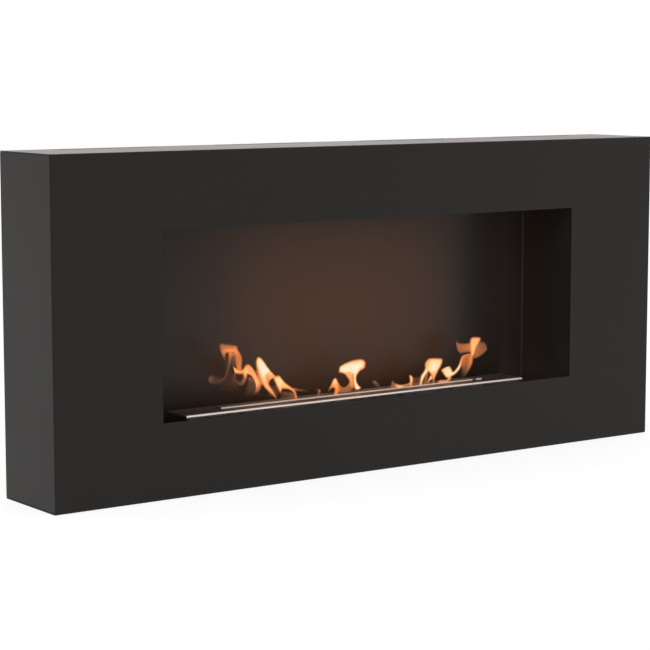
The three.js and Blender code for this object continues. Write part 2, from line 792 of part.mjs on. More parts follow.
burner.position.y = burnerY;
burner.add(mesh('burner_tank', burnerTank(), 'stainless'));
burner.add(mesh('burner_top_plate', burnerTopPlate(), 'stainless'));
for (let i = 0; i < fibreCount; i++) {
  const block = mesh(`fibre_block_${i + 1}`, fibreBlock(), 'fibre');
  block.position.x = (i - (fibreCount - 1) / 2) * (fibreLength() + fibreJoint);
  burner.add(block);
}
burner.add(mesh('shutter_rail_left', shutterRail(-1), 'stainless'));
burner.add(mesh('shutter_rail_right', shutterRail(1), 'stainless'));

// The shutter stands open, drawn forward from under the slot.
shutter.position.y = -shutterTravel;
shutter.add(mesh('shutter_plate', shutterPlate(), 'stainless'));
shutter.add(mesh('shutter_lug', shutterLug(), 'stainless'));

burner.add(shutter);
fireplace.add(niche, rearGroup, burner);

export default fireplace;
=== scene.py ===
# Wall-hung bioethanol fireplace, in metres: finishes, fixings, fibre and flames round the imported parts.
# X runs to the right as seen from the front, Y to the rear and Z up.

import json
import math
import bpy
from mathutils import Euler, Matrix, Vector, noise


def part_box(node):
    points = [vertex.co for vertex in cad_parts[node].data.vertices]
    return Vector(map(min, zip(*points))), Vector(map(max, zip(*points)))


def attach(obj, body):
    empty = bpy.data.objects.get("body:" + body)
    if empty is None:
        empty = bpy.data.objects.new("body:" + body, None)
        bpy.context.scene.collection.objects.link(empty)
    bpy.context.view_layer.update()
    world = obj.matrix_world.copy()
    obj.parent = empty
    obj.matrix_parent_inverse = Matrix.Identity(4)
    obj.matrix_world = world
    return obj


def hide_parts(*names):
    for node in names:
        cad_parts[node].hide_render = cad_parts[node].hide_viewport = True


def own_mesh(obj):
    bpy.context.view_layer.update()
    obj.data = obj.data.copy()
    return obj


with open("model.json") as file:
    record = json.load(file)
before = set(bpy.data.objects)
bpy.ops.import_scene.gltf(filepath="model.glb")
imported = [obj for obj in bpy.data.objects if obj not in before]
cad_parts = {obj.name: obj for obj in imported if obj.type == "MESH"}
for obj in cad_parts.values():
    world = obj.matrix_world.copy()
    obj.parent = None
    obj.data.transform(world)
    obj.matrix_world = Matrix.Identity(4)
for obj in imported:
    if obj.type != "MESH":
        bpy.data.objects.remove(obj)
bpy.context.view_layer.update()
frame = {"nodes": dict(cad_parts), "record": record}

MM = 0.001

# Camera, at the photograph's viewing angle
PHOTO_SIZE = 650
SENSOR_WIDTH = 36.0
LENS = 117.216
CAMERA_PLACE = Vector((-2.0663, -2.7801, 0.6655))
CAMERA_YAW = math.radians(35.8765)
CAMERA_PITCH = math.radians(7.1558)

# Surroundings
FLOOR_HALF = 30.0
FLOOR_DROP = 0.2 * MM
FLOOR_GREY = 0.8
FLOOR_SHOWN = 0.4
FLOOR_LIFT = 0.76
WORLD_LEVEL = 0.62
MIRRORED_TINT = (1.0, 0.94, 0.91, 1)
LAMPS_AIM = (0, 0, 0.25)
FLAMES_MIDDLE = (0.01, -0.035, 0.25)
FLAMES_BEHIND = (0.01, 0.048, 0.25)

# Broken edges: width, segments, and the angle in degrees from which an edge is broken
EDGES = {"burner_top_plate": (0.45 * MM, 4, 30), "casing": (0.1 * MM, 2, 45)}
OTHER_EDGES = (0.25 * MM, 2, 45)
WELD_REACH = 0.01 * MM

# Sizes of fine features
COLLAR_RISE = 2.1 * MM
SLOT_HALF = 7.5 * MM
PLATE_BEND = 4.0 * MM
SCREW_HEAD_HEIGHT = 2.0 * MM
THREAD_PITCH = 0.7 * MM
THREAD_DEPTH = 0.25 * MM
THREAD_STEPS = 5
SOCKET_ACROSS = 2.5 * MM
SOCKET_DEPTH = 1.1 * MM
FIBRE_SKIN = 0.7 * MM
FIBRE_STEP = 4.0 * MM
FIBRE_EDGE = 1.0 * MM

# Lumps in the fibre's skin: how many to the metre and how high, and the seed that fixes their places
FIBRE_LUMPS = ((90, 0.45 * MM), (260, 0.25 * MM))
FIBRE_SEED = 1

# Where the niche's coat changes: along X (painted glow of the flames, painted light at the right end), up Z
# (dust), and where its back meets its side walls (painted highlight)
PAINTED_GLOW_ENDS = (0.235, 0.30)
PAINTED_LIGHT_STARTS = (0.30, 0.37)
DUST_ENDS = (0.10, 0.22)
CORNER_HIGHLIGHT_ASIDE = (0.4120, 0.4128)
CORNER_HIGHLIGHT_DEPTH = (0.0485, 0.0490)

# Where the fibre is scorched: how far below its top, and to either side of the slot's middle
SCORCH_DEPTH = (6.4 * MM, 0.4 * MM)
SCORCH_ASIDE = (4.0 * MM, 13.0 * MM)

# Flames: lengths in pixels of the photograph, a pixel's size at the object, shares and counts
FLAME_FRINGE = 2.4
FLAME_OUTSET = 0.6
FLAME_CORE = 3.2
PIXEL_AT_OBJECT = 2.0 * MM
FLAME_BULGE = 0.28
FLAME_FULLNESS = 1.5
FLAME_RIM_GLOW = 0.62
DENSE_GLOW = 0.55
FLAME_STEPS = 6
FLAME_COLUMNS = 14

# How far over the shutter the flames stand
FLAME_FOOT_RISE = 0.8 * MM

# Places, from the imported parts
plate_low, plate_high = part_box("burner_top_plate")
plate_middle = (plate_low + plate_high) / 2
plate_top = plate_high.z - COLLAR_RISE
case_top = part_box("casing")[1].z
shutter_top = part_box("shutter_plate")[1].z
fibre_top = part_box("fibre_block_1")[1].z


# Camera

def camera_turn():
    return Euler((math.pi / 2 - CAMERA_PITCH, 0, -CAMERA_YAW))


def make_camera():
    camera = bpy.data.objects.new("camera", bpy.data.cameras.new("camera"))
    bpy.context.scene.collection.objects.link(camera)
    camera.data.sensor_width = SENSOR_WIDTH
    camera.data.lens = LENS
    camera.location = CAMERA_PLACE
    camera.rotation_euler = camera_turn()
    bpy.context.scene.camera = camera


def through_pixel(px, py, y):
    """The point at depth y that the photograph shows at pixel (px, py)."""
    half_frame = SENSOR_WIDTH / 2 / LENS
    across = (px / PHOTO_SIZE * 2 - 1) * half_frame
    up = (1 - py / PHOTO_SIZE * 2) * half_frame
    ahead = Vector((across, up, -1))
    ahead.rotate(camera_turn())
    return CAMERA_PLACE + ahead * ((y - CAMERA_PLACE.y) / ahead.y)


# Node trees

def connect(socket, value):
    """Gives an input a plain value, or links it to another node's output."""
    if isinstance(value, bpy.types.NodeSocket):
        socket.id_data.links.new(value, socket)
    else:
        socket.default_value = value


def feed(node, *values, **named):
    """Connects inputs of a node in order or by name, where an underscore stands for a space."""
    for socket, value in zip(node.inputs, values):
        connect(socket, value)
    for name, value in named.items():
        connect(node.inputs[name.replace("_", " ")], value)
    return node


def add_node(tree, kind, *values, settings=None, **named):
    node = tree.nodes.new(kind)
    for key, value in (settings or {}).items():
        setattr(node, key, value)
    return feed(node, *values, **named)


def blend(tree, share, colour, other):
    """The colour where share is 0, and the other where it is 1."""
    mix = add_node(tree, "ShaderNodeMix", share, settings={"data_type": "RGBA"})
    connect(mix.inputs[6], colour)
    connect(mix.inputs[7], other)
    return mix.outputs[2]


class Look:
    """A material, and short calls that build its node tree."""

    def __init__(self, name, **inputs):
        self.material = bpy.data.materials.new(name)
        self.material.use_nodes = True
        self.tree = self.material.node_tree
        self.surface = self.tree.nodes["Principled BSDF"]
        self.set(**inputs)
        self.place = self.node("ShaderNodeTexCoord").outputs["Object"]

    def set(self, **inputs):
        feed(self.surface, **inputs)

    def node(self, kind, *values, settings=None, **named):
        return add_node(self.tree, kind, *values, settings=settings, **named)

    def noise(self, scale, detail, stretch=(1, 1, 1), place=None):
        """Noise between 0 and 1, with scale features to the metre before it is stretched."""
        stretched = self.node("ShaderNodeMapping", Vector=place or self.place, Scale=stretch).outputs[0]
        return self.node("ShaderNodeTexNoise", Vector=stretched, Scale=scale, Detail=detail).outputs["Fac"]

    def along(self, axis):
        return self.node("ShaderNodeSeparateXYZ", Vector=self.place).outputs[axis]

    def math(self, operation, *values):
        return self.node("ShaderNodeMath", *values, settings={"operation": operation}).outputs[0]

    def add(self, first, *others):
        for other in others:
            first = self.math("ADD", first, other)
        return first

    def times(self, first, *others):
        for other in others:
            first = self.math("MULTIPLY", first, other)
        return first

    def span(self, value, low, high, to_low=0.0, to_high=1.0, smooth=False):
        kind = {"interpolation_type": "SMOOTHSTEP" if smooth else "LINEAR"}
        return self.node("ShaderNodeMapRange", settings=kind, Value=value, From_Min=low, From_Max=high,
                         To_Min=to_low, To_Max=to_high).outputs[0]

    def vary(self, value, to_low=0.0, to_high=1.0):
        """The range that most of a noise lies in, brought between two values."""
        return self.span(value, 0.3, 0.7, to_low, to_high)

    def ramp(self, value, stops):
        made = self.node("ShaderNodeValToRGB", Fac=value)
        elements = made.color_ramp.elements
        while len(elements) < len(stops):
            elements.new(1.0)
        for element, (at, colour) in zip(elements, stops):
            element.position = at
            element.color = (*colour, 1)
        return made.outputs[0]

    def blend(self, share, colour, other):
        return blend(self.tree, share, colour, other)

    def bump(self, height, distance, strength=1.0, over=None):
        made = self.node("ShaderNodeBump", Height=height, Distance=distance, Strength=strength)
        if over:
            feed(made, Normal=over)
        return made.outputs[0]


# Materials

def powder_coat():
    """Black fine-structure powder coat: a tight grain over a slow orange peel, wiped smoother on top."""
    look = Look("powder_coat", Specular_IOR_Level=0.25, Specular_Tint=(1.0, 0.955, 0.925, 1))
    grain = look.noise(900, 4)
    peel = look.noise(160, 2)
    cloud = look.noise(5, 3)
    on_top = look.span(look.along("Z"), case_top - 1.0 * MM, case_top - 0.2 * MM, smooth=True)
    look.set(
        Base_Color=look.ramp(look.add(look.vary(cloud, 0.0, 0.6), look.vary(grain, 0.0, 0.4)), [
            (0.0, (0.0061, 0.0056, 0.0053)),
            (1.0, (0.0091, 0.0083, 0.0078)),
        ]),
        Roughness=look.add(look.vary(cloud, 0.40, 0.45), look.vary(grain, -0.02, 0.04),
                           look.times(on_top, -0.165)),
        Normal=look.bump(grain, 0.02 * MM, 0.5, look.bump(peel, 0.03 * MM, 0.4)),
    )
    return look.material


def niche_coat():
    """Matt heat-resistant coat, a little dusty low down, with a painted warm glow of the flames, a painted
    shade band to the right of that glow, painted light on the paler right end, and a painted highlight
    where the back meets the side walls."""
    look = Look("niche_coat", Specular_IOR_Level=0.25, Specular_Tint=(1.0, 0.93, 0.87, 1))
    grain = look.noise(1100, 4)
    cloud = look.noise(7, 4)
    low = look.span(look.along("Z"), *DUST_ENDS, 1.0, 0.0, smooth=True)
    dust = look.times(low, look.span(cloud, 0.35, 0.75))
    # Painted warm glow of the flames: a browner colour over most of the back, fading out towards the right
    # end.
    painted_glow = look.span(look.along("X"), *PAINTED_GLOW_ENDS, 0.30, 0.0, smooth=True)
    # Painted light: the right end of the back and the right side wall are paler in colour.
    right_end_painted_light = look.span(look.along("X"), *PAINTED_LIGHT_STARTS)
    # Painted highlight: a thin pale line where the back meets the side walls.
    painted_corner_highlight = look.times(
        look.span(look.math("ABSOLUTE", look.along("X")), *CORNER_HIGHLIGHT_ASIDE),
        look.span(look.along("Y"), *CORNER_HIGHLIGHT_DEPTH),
    )
    # Between the painted glow and the painted light at the right end, the colour dips: a painted shade
    # band.
    tone = look.add(look.vary(grain, 0.0, 0.14), painted_glow, look.times(dust, 0.2),
                    look.times(right_end_painted_light, 0.64), look.times(painted_corner_highlight, 0.9))
    look.set(
        Base_Color=look.ramp(tone, [
            (0.0, (0.005, 0.0042, 0.0038)),
            (0.3, (0.0135, 0.011, 0.0094)),
            (0.7, (0.021, 0.017, 0.0145)),
            (1.0, (0.065, 0.057, 0.053)),
        ]),
        # The mask of the painted light at the right end also makes the coat rougher there.
        Roughness=look.add(look.vary(cloud, 0.30, 0.35), look.times(dust, 0.1), look.times(right_end_painted_light, 0.2)),
        Normal=look.bump(grain, 0.02 * MM, 0.5),
    )
    return look.material


def plate_heat(look):
    """Where heat has turned the burner brown: on the plate's level top and the slot's walls, in patches."""
    depth, height = look.along("Y"), look.along("Z")
    rim_back = plate_middle.y - SLOT_HALF
    behind_bend = look.span(depth, plate_low.y + PLATE_BEND * 0.3, plate_low.y + PLATE_BEND * 0.8)
    behind_rim = look.span(depth, rim_back - 0.1 * MM, rim_back + 0.5 * MM)
    level = look.span(height, plate_top + 0.1 * MM, plate_top + 0.4 * MM, 1.0, 0.0)
    upper = look.span(height, plate_top - 1.0 * MM, plate_top - 0.3 * MM, smooth=True)
    patches = look.vary(look.noise(16, 3, (0.4, 1, 1)), 0.85, 1.0)
    return look.times(look.math("MAXIMUM", level, behind_rim), behind_bend, upper, patches)


def brushed_stainless():
    """Stainless steel brushed along X, turned brown and dulled by heat. The plate's rounded front edge
    stays bright, and so does the collar's front rim, which is shaded as if it leaned back."""
    look = Look("brushed_stainless")
    strokes = look.noise(1500, 3, (0.012, 1, 1))
    scratches = look.noise(420, 2, (0.02, 1, 1))
    smudge = look.noise(14, 3)
    heat = plate_heat(look)
    rim = look.span(look.along("Z"), plate_top + 0.1 * MM, plate_top + 0.4 * MM, 0.0, 0.16)
    lean = look.span(look.along("Z"), plate_top, plate_high.z, 1.0, 0.0)
    steel = look.ramp(strokes, [(0.25, (0.73, 0.67, 0.63)), (0.75, (0.86, 0.79, 0.75))])
    scratched = look.bump(scratches, 0.02 * MM, 0.3, look.bump(lean, 0.25 * MM))
    look.set(
        Base_Color=look.blend(heat, steel, (0.085, 0.066, 0.054, 1)),
        Metallic=look.span(heat, 0.0, 1.0, 1.0, 0.8),
        Roughness=look.add(look.span(heat, 0.0, 1.0, 0.24, 0.5), rim, look.vary(strokes, 0.0, 0.08),
                           look.span(smudge, 0.4, 0.7, 0.0, 0.06)),
        Normal=look.bump(strokes, 0.01 * MM, 0.5, scratched),
    )
    return look.material


def zinc_plate():
    """Bright zinc plate: a faintly bluish, slightly mottled metal with fine handling scratches."""
    look = Look("zinc_plate", Metallic=1.0)
    cells = look.node("ShaderNodeTexVoronoi", Vector=look.place, Scale=260).outputs["Color"]
    mottle = look.node("ShaderNodeRGBToBW", cells).outputs[0]
    scratches = look.noise(700, 3, (1, 0.05, 1))
    cloud = look.noise(22, 3)
    look.set(
        Base_Color=look.ramp(cloud, [
            (0.3, (0.47, 0.49, 0.52)),
            (0.5, (0.56, 0.57, 0.57)),
            (0.7, (0.58, 0.56, 0.50)),
        ]),
        Roughness=look.add(look.span(mottle, 0.0, 1.0, 0.30, 0.40),
                           look.span(scratches, 0.4, 0.7, 0.0, 0.06)),
        Normal=look.bump(scratches, 0.01 * MM, 0.4),
    )
    return look.material


def ceramic_fibre():
    """Needled ceramic fibre: matt, off-white, scorched a little on top under the slot."""
    look = Look("ceramic_fibre", Roughness=0.95, Specular_IOR_Level=0.15, Sheen_Weight=0.25)
    threads = look.noise(1400, 5, (0.35, 1, 1))
    lumps = look.noise(240, 4)
    top = look.span(look.along("Z"), *(fibre_top - depth for depth in SCORCH_DEPTH), smooth=True)
    from_slot = look.math("ABSOLUTE", look.math("SUBTRACT", look.along("Y"), plate_middle.y))
    under_slot = look.span(from_slot, *SCORCH_ASIDE, 1.0, 0.0, smooth=True)
    scorch = look.times(top, under_slot, look.vary(look.noise(60, 4)), 0.7)
    clean = look.ramp(threads, [(0.3, (0.60, 0.57, 0.51)), (0.7, (0.80, 0.78, 0.73))])
    look.set(
        Base_Color=look.blend(scorch, clean, (0.16, 0.11, 0.08, 1)),
        Normal=look.bump(threads, 0.15 * MM, 0.7, look.bump(lumps, 0.3 * MM, 0.6)),
    )
    return look.material


def buffer_rubber():
    """Moulded black rubber with a dusty bloom in the grain."""
    look = Look("buffer_rubber", Specular_IOR_Level=0.35)
    grain = look.noise(1300, 4)
    bloom = look.noise(90, 3)
    look.set(
        Base_Color=look.ramp(bloom, [(0.3, (0.012, 0.012, 0.012)), (0.75, (0.028, 0.027, 0.026))]),
        Roughness=look.vary(bloom, 0.62, 0.8),
        Normal=look.bump(grain, 0.04 * MM, 0.6),
    )
    return look.material


def flame_light(name, colours):
    """A flame: the stronger its glow, the denser and the further along its colours, in streaks."""
    look = Look(name, Base_Color=(0, 0, 0, 1), Specular_IOR_Level=0.0, Emission_Strength=1.0)
    glow = look.node("ShaderNodeAttribute", settings={"attribute_name": "glow"}).outputs["Fac"]
    cover = look.node("ShaderNodeAttribute", settings={"attribute_name": "cover"}).outputs["Fac"]
    flow = look.node("ShaderNodeUVMap", settings={"uv_map": "flow"}).outputs[0]
    streak = look.noise(1.0, 2, (0.35, 0.05, 1), place=flow)
    lively = look.times(glow, look.vary(streak, 0.93, 1.05))
    look.set(
        Emission_Color=look.ramp(lively, colours),
        Alpha=look.times(cover, look.span(lively, 0.0, DENSE_GLOW)),
    )
    return look.material


FLAME_COLOURS = [
    (0.0, (0.70, 0.32, 0.20)),
    (0.3, (0.90, 0.26, 0.075)),
    (0.52, (0.97, 0.30, 0.09)),
    (0.70, (1.0, 0.50, 0.19)),
    (0.85, (1.0, 0.74, 0.37)),
    (1.0, (1.0, 0.89, 0.71)),
]
BLUE_COLOURS = [
    (0.0, (0.14, 0.20, 0.27)),
    (0.12, (0.20, 0.20, 0.23)),
    (0.26, (0.85, 0.30, 0.12)),
]


def make_looks():
    return {
        "powder_coat": powder_coat(),
        "niche_coat": niche_coat(),
        "stainless": brushed_stainless(),
        "zinc_steel": zinc_plate(),
        "ceramic_fibre": ceramic_fibre(),
        "buffer_rubber": buffer_rubber(),
        "flame": flame_light("flame", FLAME_COLOURS),
        "blue_flame": flame_light("blue_flame", BLUE_COLOURS),
    }


# Meshes

def add_mesh(name, points, faces, material, body):
    mesh = bpy.data.meshes.new(name)
    mesh.from_pydata([tuple(p) for p in points], [], faces)
    mesh.materials.append(material)
    piece = bpy.data.objects.new(name, mesh)
    bpy.context.scene.collection.objects.link(piece)
    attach(piece, body)
    return piece


def shade(piece, sharp_from=35):
    piece.data.shade_smooth()
    piece.data.set_sharp_from_angle(angle=math.radians(sharp_from))


def ring_faces(rings, around):
    """Quads between rings of equally many points, with the first and last ring closed."""
    faces = [tuple(reversed(range(around)))]
    for ring in range(rings - 1):
        for i in range(around):
            j = (i + 1) % around
            low, high = ring * around, (ring + 1) * around
            faces.append((low + i, low + j, high + j, high + i))
    faces.append(tuple(range((rings - 1) * around, rings * around)))
    return faces


def ring_points(centre, y, around, radius_at):
    """A ring about Y, its radius a function of the angle."""
    points = []
    for i in range(around):
        angle = 2 * math.pi * i / around
        radius = radius_at(angle)
        points.append((centre.x + radius * math.sin(angle), y, centre.z + radius * math.cos(angle)))
    return points


def turned(node, profile, around, material_slot, looks):
    """A fixing turned about Y in its node's place: profile holds (radius, y) from end to end."""
    low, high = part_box(node)
    points = []
    for radius, y in profile:
        points += ring_points((low + high) / 2, y, around, lambda angle: radius)
    piece = add_mesh(node + "_detail", points, ring_faces(len(profile), around),
                     looks[material_slot], "casing_body")
    shade(piece)
    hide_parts(node)


def arc(centre_r, centre_y, radius, start, end, steps):
    """Points of a profile on an arc; angles in degrees from the radial direction towards +Y."""
    angles = [math.radians(start + (end - start) * i / steps) for i in range(steps + 1)]
    return [(centre_r + radius * math.cos(a), centre_y + radius * math.sin(a)) for a in angles]


# CAD parts that keep their shape

def dress(node, material):
    """Gives a CAD part its finish, and breaks its sharp edges."""
    part = frame["nodes"][node]
    part.data.materials.clear()
    part.data.materials.append(material)
    weld = part.modifiers.new("weld", "WELD")
    weld.merge_threshold = WELD_REACH
    bevel = part.modifiers.new("edges", "BEVEL")
    bevel.width, bevel.segments, from_angle = EDGES.get(node, OTHER_EDGES)
    bevel.limit_method = "ANGLE"
    bevel.angle_limit = math.radians(from_angle)
    normals = part.modifiers.new("normals", "WEIGHTED_NORMAL")
    normals.keep_sharp = False
    normals.weight = 80


def dress_all(looks):
    for sub in frame["record"]["subparts"]:
        if not frame["nodes"][sub["node"]].hide_render:
            dress(sub["node"], looks[sub["material_slot"]])


# Fixings

def machine_screw(node, looks):
    """A button-head screw with a hexagon socket and a cut thread, its head to the rear."""
    low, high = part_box(node)
    centre = (low + high) / 2
    head = (high.x - low.x) / 2
    shank = head / 2
    top = high.y
    seat = top - SCREW_HEAD_HEIGHT
    around = 24
    points = []

    def ring(y, radius_at):
        points.extend(ring_points(centre, y, around, radius_at))

    def hexagon(angle):
        sector = (angle + math.pi / 6) % (math.pi / 3) - math.pi / 6
        return SOCKET_ACROSS / 2 / math.cos(sector)

    count = int((seat - low.y) / THREAD_PITCH * THREAD_STEPS)
    for k in range(count):
        y = low.y + (seat - low.y) * k / count
        taper = min(1.0, 0.55 + (y - low.y) / (2 * shank))

        def thread(angle):
            phase = (y / THREAD_PITCH - angle / (2 * math.pi)) % 1
            return taper * shank - THREAD_DEPTH * abs(2 * phase - 1)
        ring(y, thread)

    edge = 0.2 * MM
    dome_foot = seat + 0.5 * MM
    dome_end = 62
    ring(seat, lambda angle: shank)
    ring(seat, lambda angle: head - edge)
    ring(seat + edge, lambda angle: head)
    for across, rise in arc(0, 0, 1.0, 0, dome_end, 5):
        share = rise / math.sin(math.radians(dome_end))
        ring(dome_foot + share * (top - dome_foot), lambda angle: head * across)
    lead_in = 0.12 * MM
    ring(top, lambda angle: hexagon(angle) + lead_in)
    ring(top - lead_in, hexagon)
    ring(top - SOCKET_DEPTH, hexagon)
    screw = add_mesh(node + "_detail", points, ring_faces(len(points) // around, around),
                     looks["zinc_steel"], "casing_body")
    shade(screw, 30)
    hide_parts(node)


def standoff_post(node, looks):
    """A turned post with a collar at both ends, a slightly thinner waist and a blind bore."""
    low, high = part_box(node)
    radius = (high.x - low.x) / 2
    chamfer = 0.5 * MM
    collar = 3.2 * MM
    step = 0.4 * MM
    bore = 2.3 * MM
    bore_depth = 6.5 * MM
    middle = 0.3 * MM
    turned(node, [
        (radius - chamfer, low.y), (radius, low.y + chamfer), (radius, low.y + collar),
        (radius - step, low.y + collar + step), (radius - step, high.y - collar - step),
        (radius, high.y - collar), (radius, high.y - chamfer), (radius - chamfer, high.y),
        (bore, high.y), (bore, high.y - bore_depth), (middle, high.y - bore_depth - 0.5 * MM),
    ], 40, "zinc_steel", looks)


def hanger_rivet(node, looks):
    """A rivet with a flat, dished head to the rear and a rounded, upset end inside."""
    low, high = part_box(node)
    head = (high.x - low.x) / 2
    head_start = high.y - 1.4 * MM
    shank = 2.0 * MM
    upset = 3.2 * MM
    upset_end = low.y + 2.0 * MM
    rounding = 1.0 * MM
    lip = 0.1 * MM
    dish = high.y - 0.35 * MM
    middle = 0.2 * MM
    profile = [(middle, low.y)] + arc(upset - rounding, low.y + rounding, rounding, -90, 0, 4)
    profile += [(upset, upset_end), (shank, upset_end), (shank, head_start),
                (head, high.y - lip), (head - lip, high.y), (head * 0.5, high.y - lip),
                (head * 0.25, dish), (middle, dish)]
    turned(node, profile, 36, "zinc_steel", looks)


def wall_buffer(node, looks):
    """A moulded pad with a rounded rim and two shallow grip rings."""
    low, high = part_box(node)
    radius = (high.x - low.x) / 2
    edge = 1.0 * MM
    foot = 0.3 * MM
    groove = 0.5 * MM
    middle = 0.2 * MM
    profile = [(middle, low.y), (radius - foot, low.y), (radius, low.y + foot)]
    profile += arc(radius - edge, high.y - edge, edge, 0, 90, 5)
    for share in (0.72, 0.45):
        r = radius * share
        profile += [(r + groove, high.y), (r + groove * 0.5, high.y - groove),
                    (r - groove * 0.5, high.y - groove), (r - groove, high.y)]
    profile += [(radius * 0.2, high.y), (middle, high.y)]
    turned(node, profile, 64, "buffer_rubber", looks)


def fibre_block(node, looks):
    """A block of needled fibre, its skin lumpy and its edges soft."""
    noise.seed_set(FIBRE_SEED)
    low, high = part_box(node)
    low = low + Vector((FIBRE_SKIN,) * 3)
    high = high - Vector((FIBRE_SKIN,) * 3)
    middle = (low + high) / 2
    size = high - low
    counts = [max(2, round(s / FIBRE_STEP)) for s in size]
    index = {}
    points = []
    faces = []

    def corner(cell):
        if cell not in index:
            index[cell] = len(points)
            share = [c / n for c, n in zip(cell, counts)]
            point = Vector([start + s * part for start, s, part in zip(low, size, share)])
            inset = Vector((0, 0, 0))
            at_side = [c in (0, n) for c, n in zip(cell, counts)]
            if sum(at_side) > 1:
                for axis in range(3):
                    if at_side[axis]:
                        inset[axis] = math.copysign(FIBRE_EDGE, middle[axis] - point[axis])
            lumps = [noise.noise_vector(point * scale) * height for scale, height in FIBRE_LUMPS]
            points.append(sum(lumps, point + inset))
        return index[cell]

    for axis in range(3):
        a, b = [other for other in range(3) if other != axis]
        for side in (0, counts[axis]):
            for i in range(counts[a]):
                for j in range(counts[b]):
                    quad = []
                    for di, dj in ((0, 0), (1, 0), (1, 1), (0, 1)):
                        cell = [0, 0, 0]
                        cell[axis], cell[a], cell[b] = side, i + di, j + dj
                        quad.append(corner(tuple(cell)))
                    outward = (side > 0) == (axis != 1)
                    faces.append(tuple(quad) if outward else tuple(reversed(quad)))
    block = add_mesh(node + "_fibre", points, faces, looks["ceramic_fibre"], "burner")
    block.data.shade_smooth()
    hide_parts(node)


DETAILED = {
    "_screw_": machine_screw,
    "shield_standoff_": standoff_post,
    "hanger_rivet_": hanger_rivet,
    "wall_buffer_": wall_buffer,
    "fibre_block_": fibre_block,
}


def add_details(looks):
    for node in sorted(frame["nodes"]):
        for part_of_name, make in DETAILED.items():
            if part_of_name in node:
                make(node, looks)


# Flames: soft-edged sheets of hot gas that rise from the slot. Before a sheet's rows stand the depths
# of its foot and its tip behind the slot's middle, in millimetres. Each row runs across the sheet, in
# pixels of the photograph: its left and right end, and the glow at the left, middle and right.

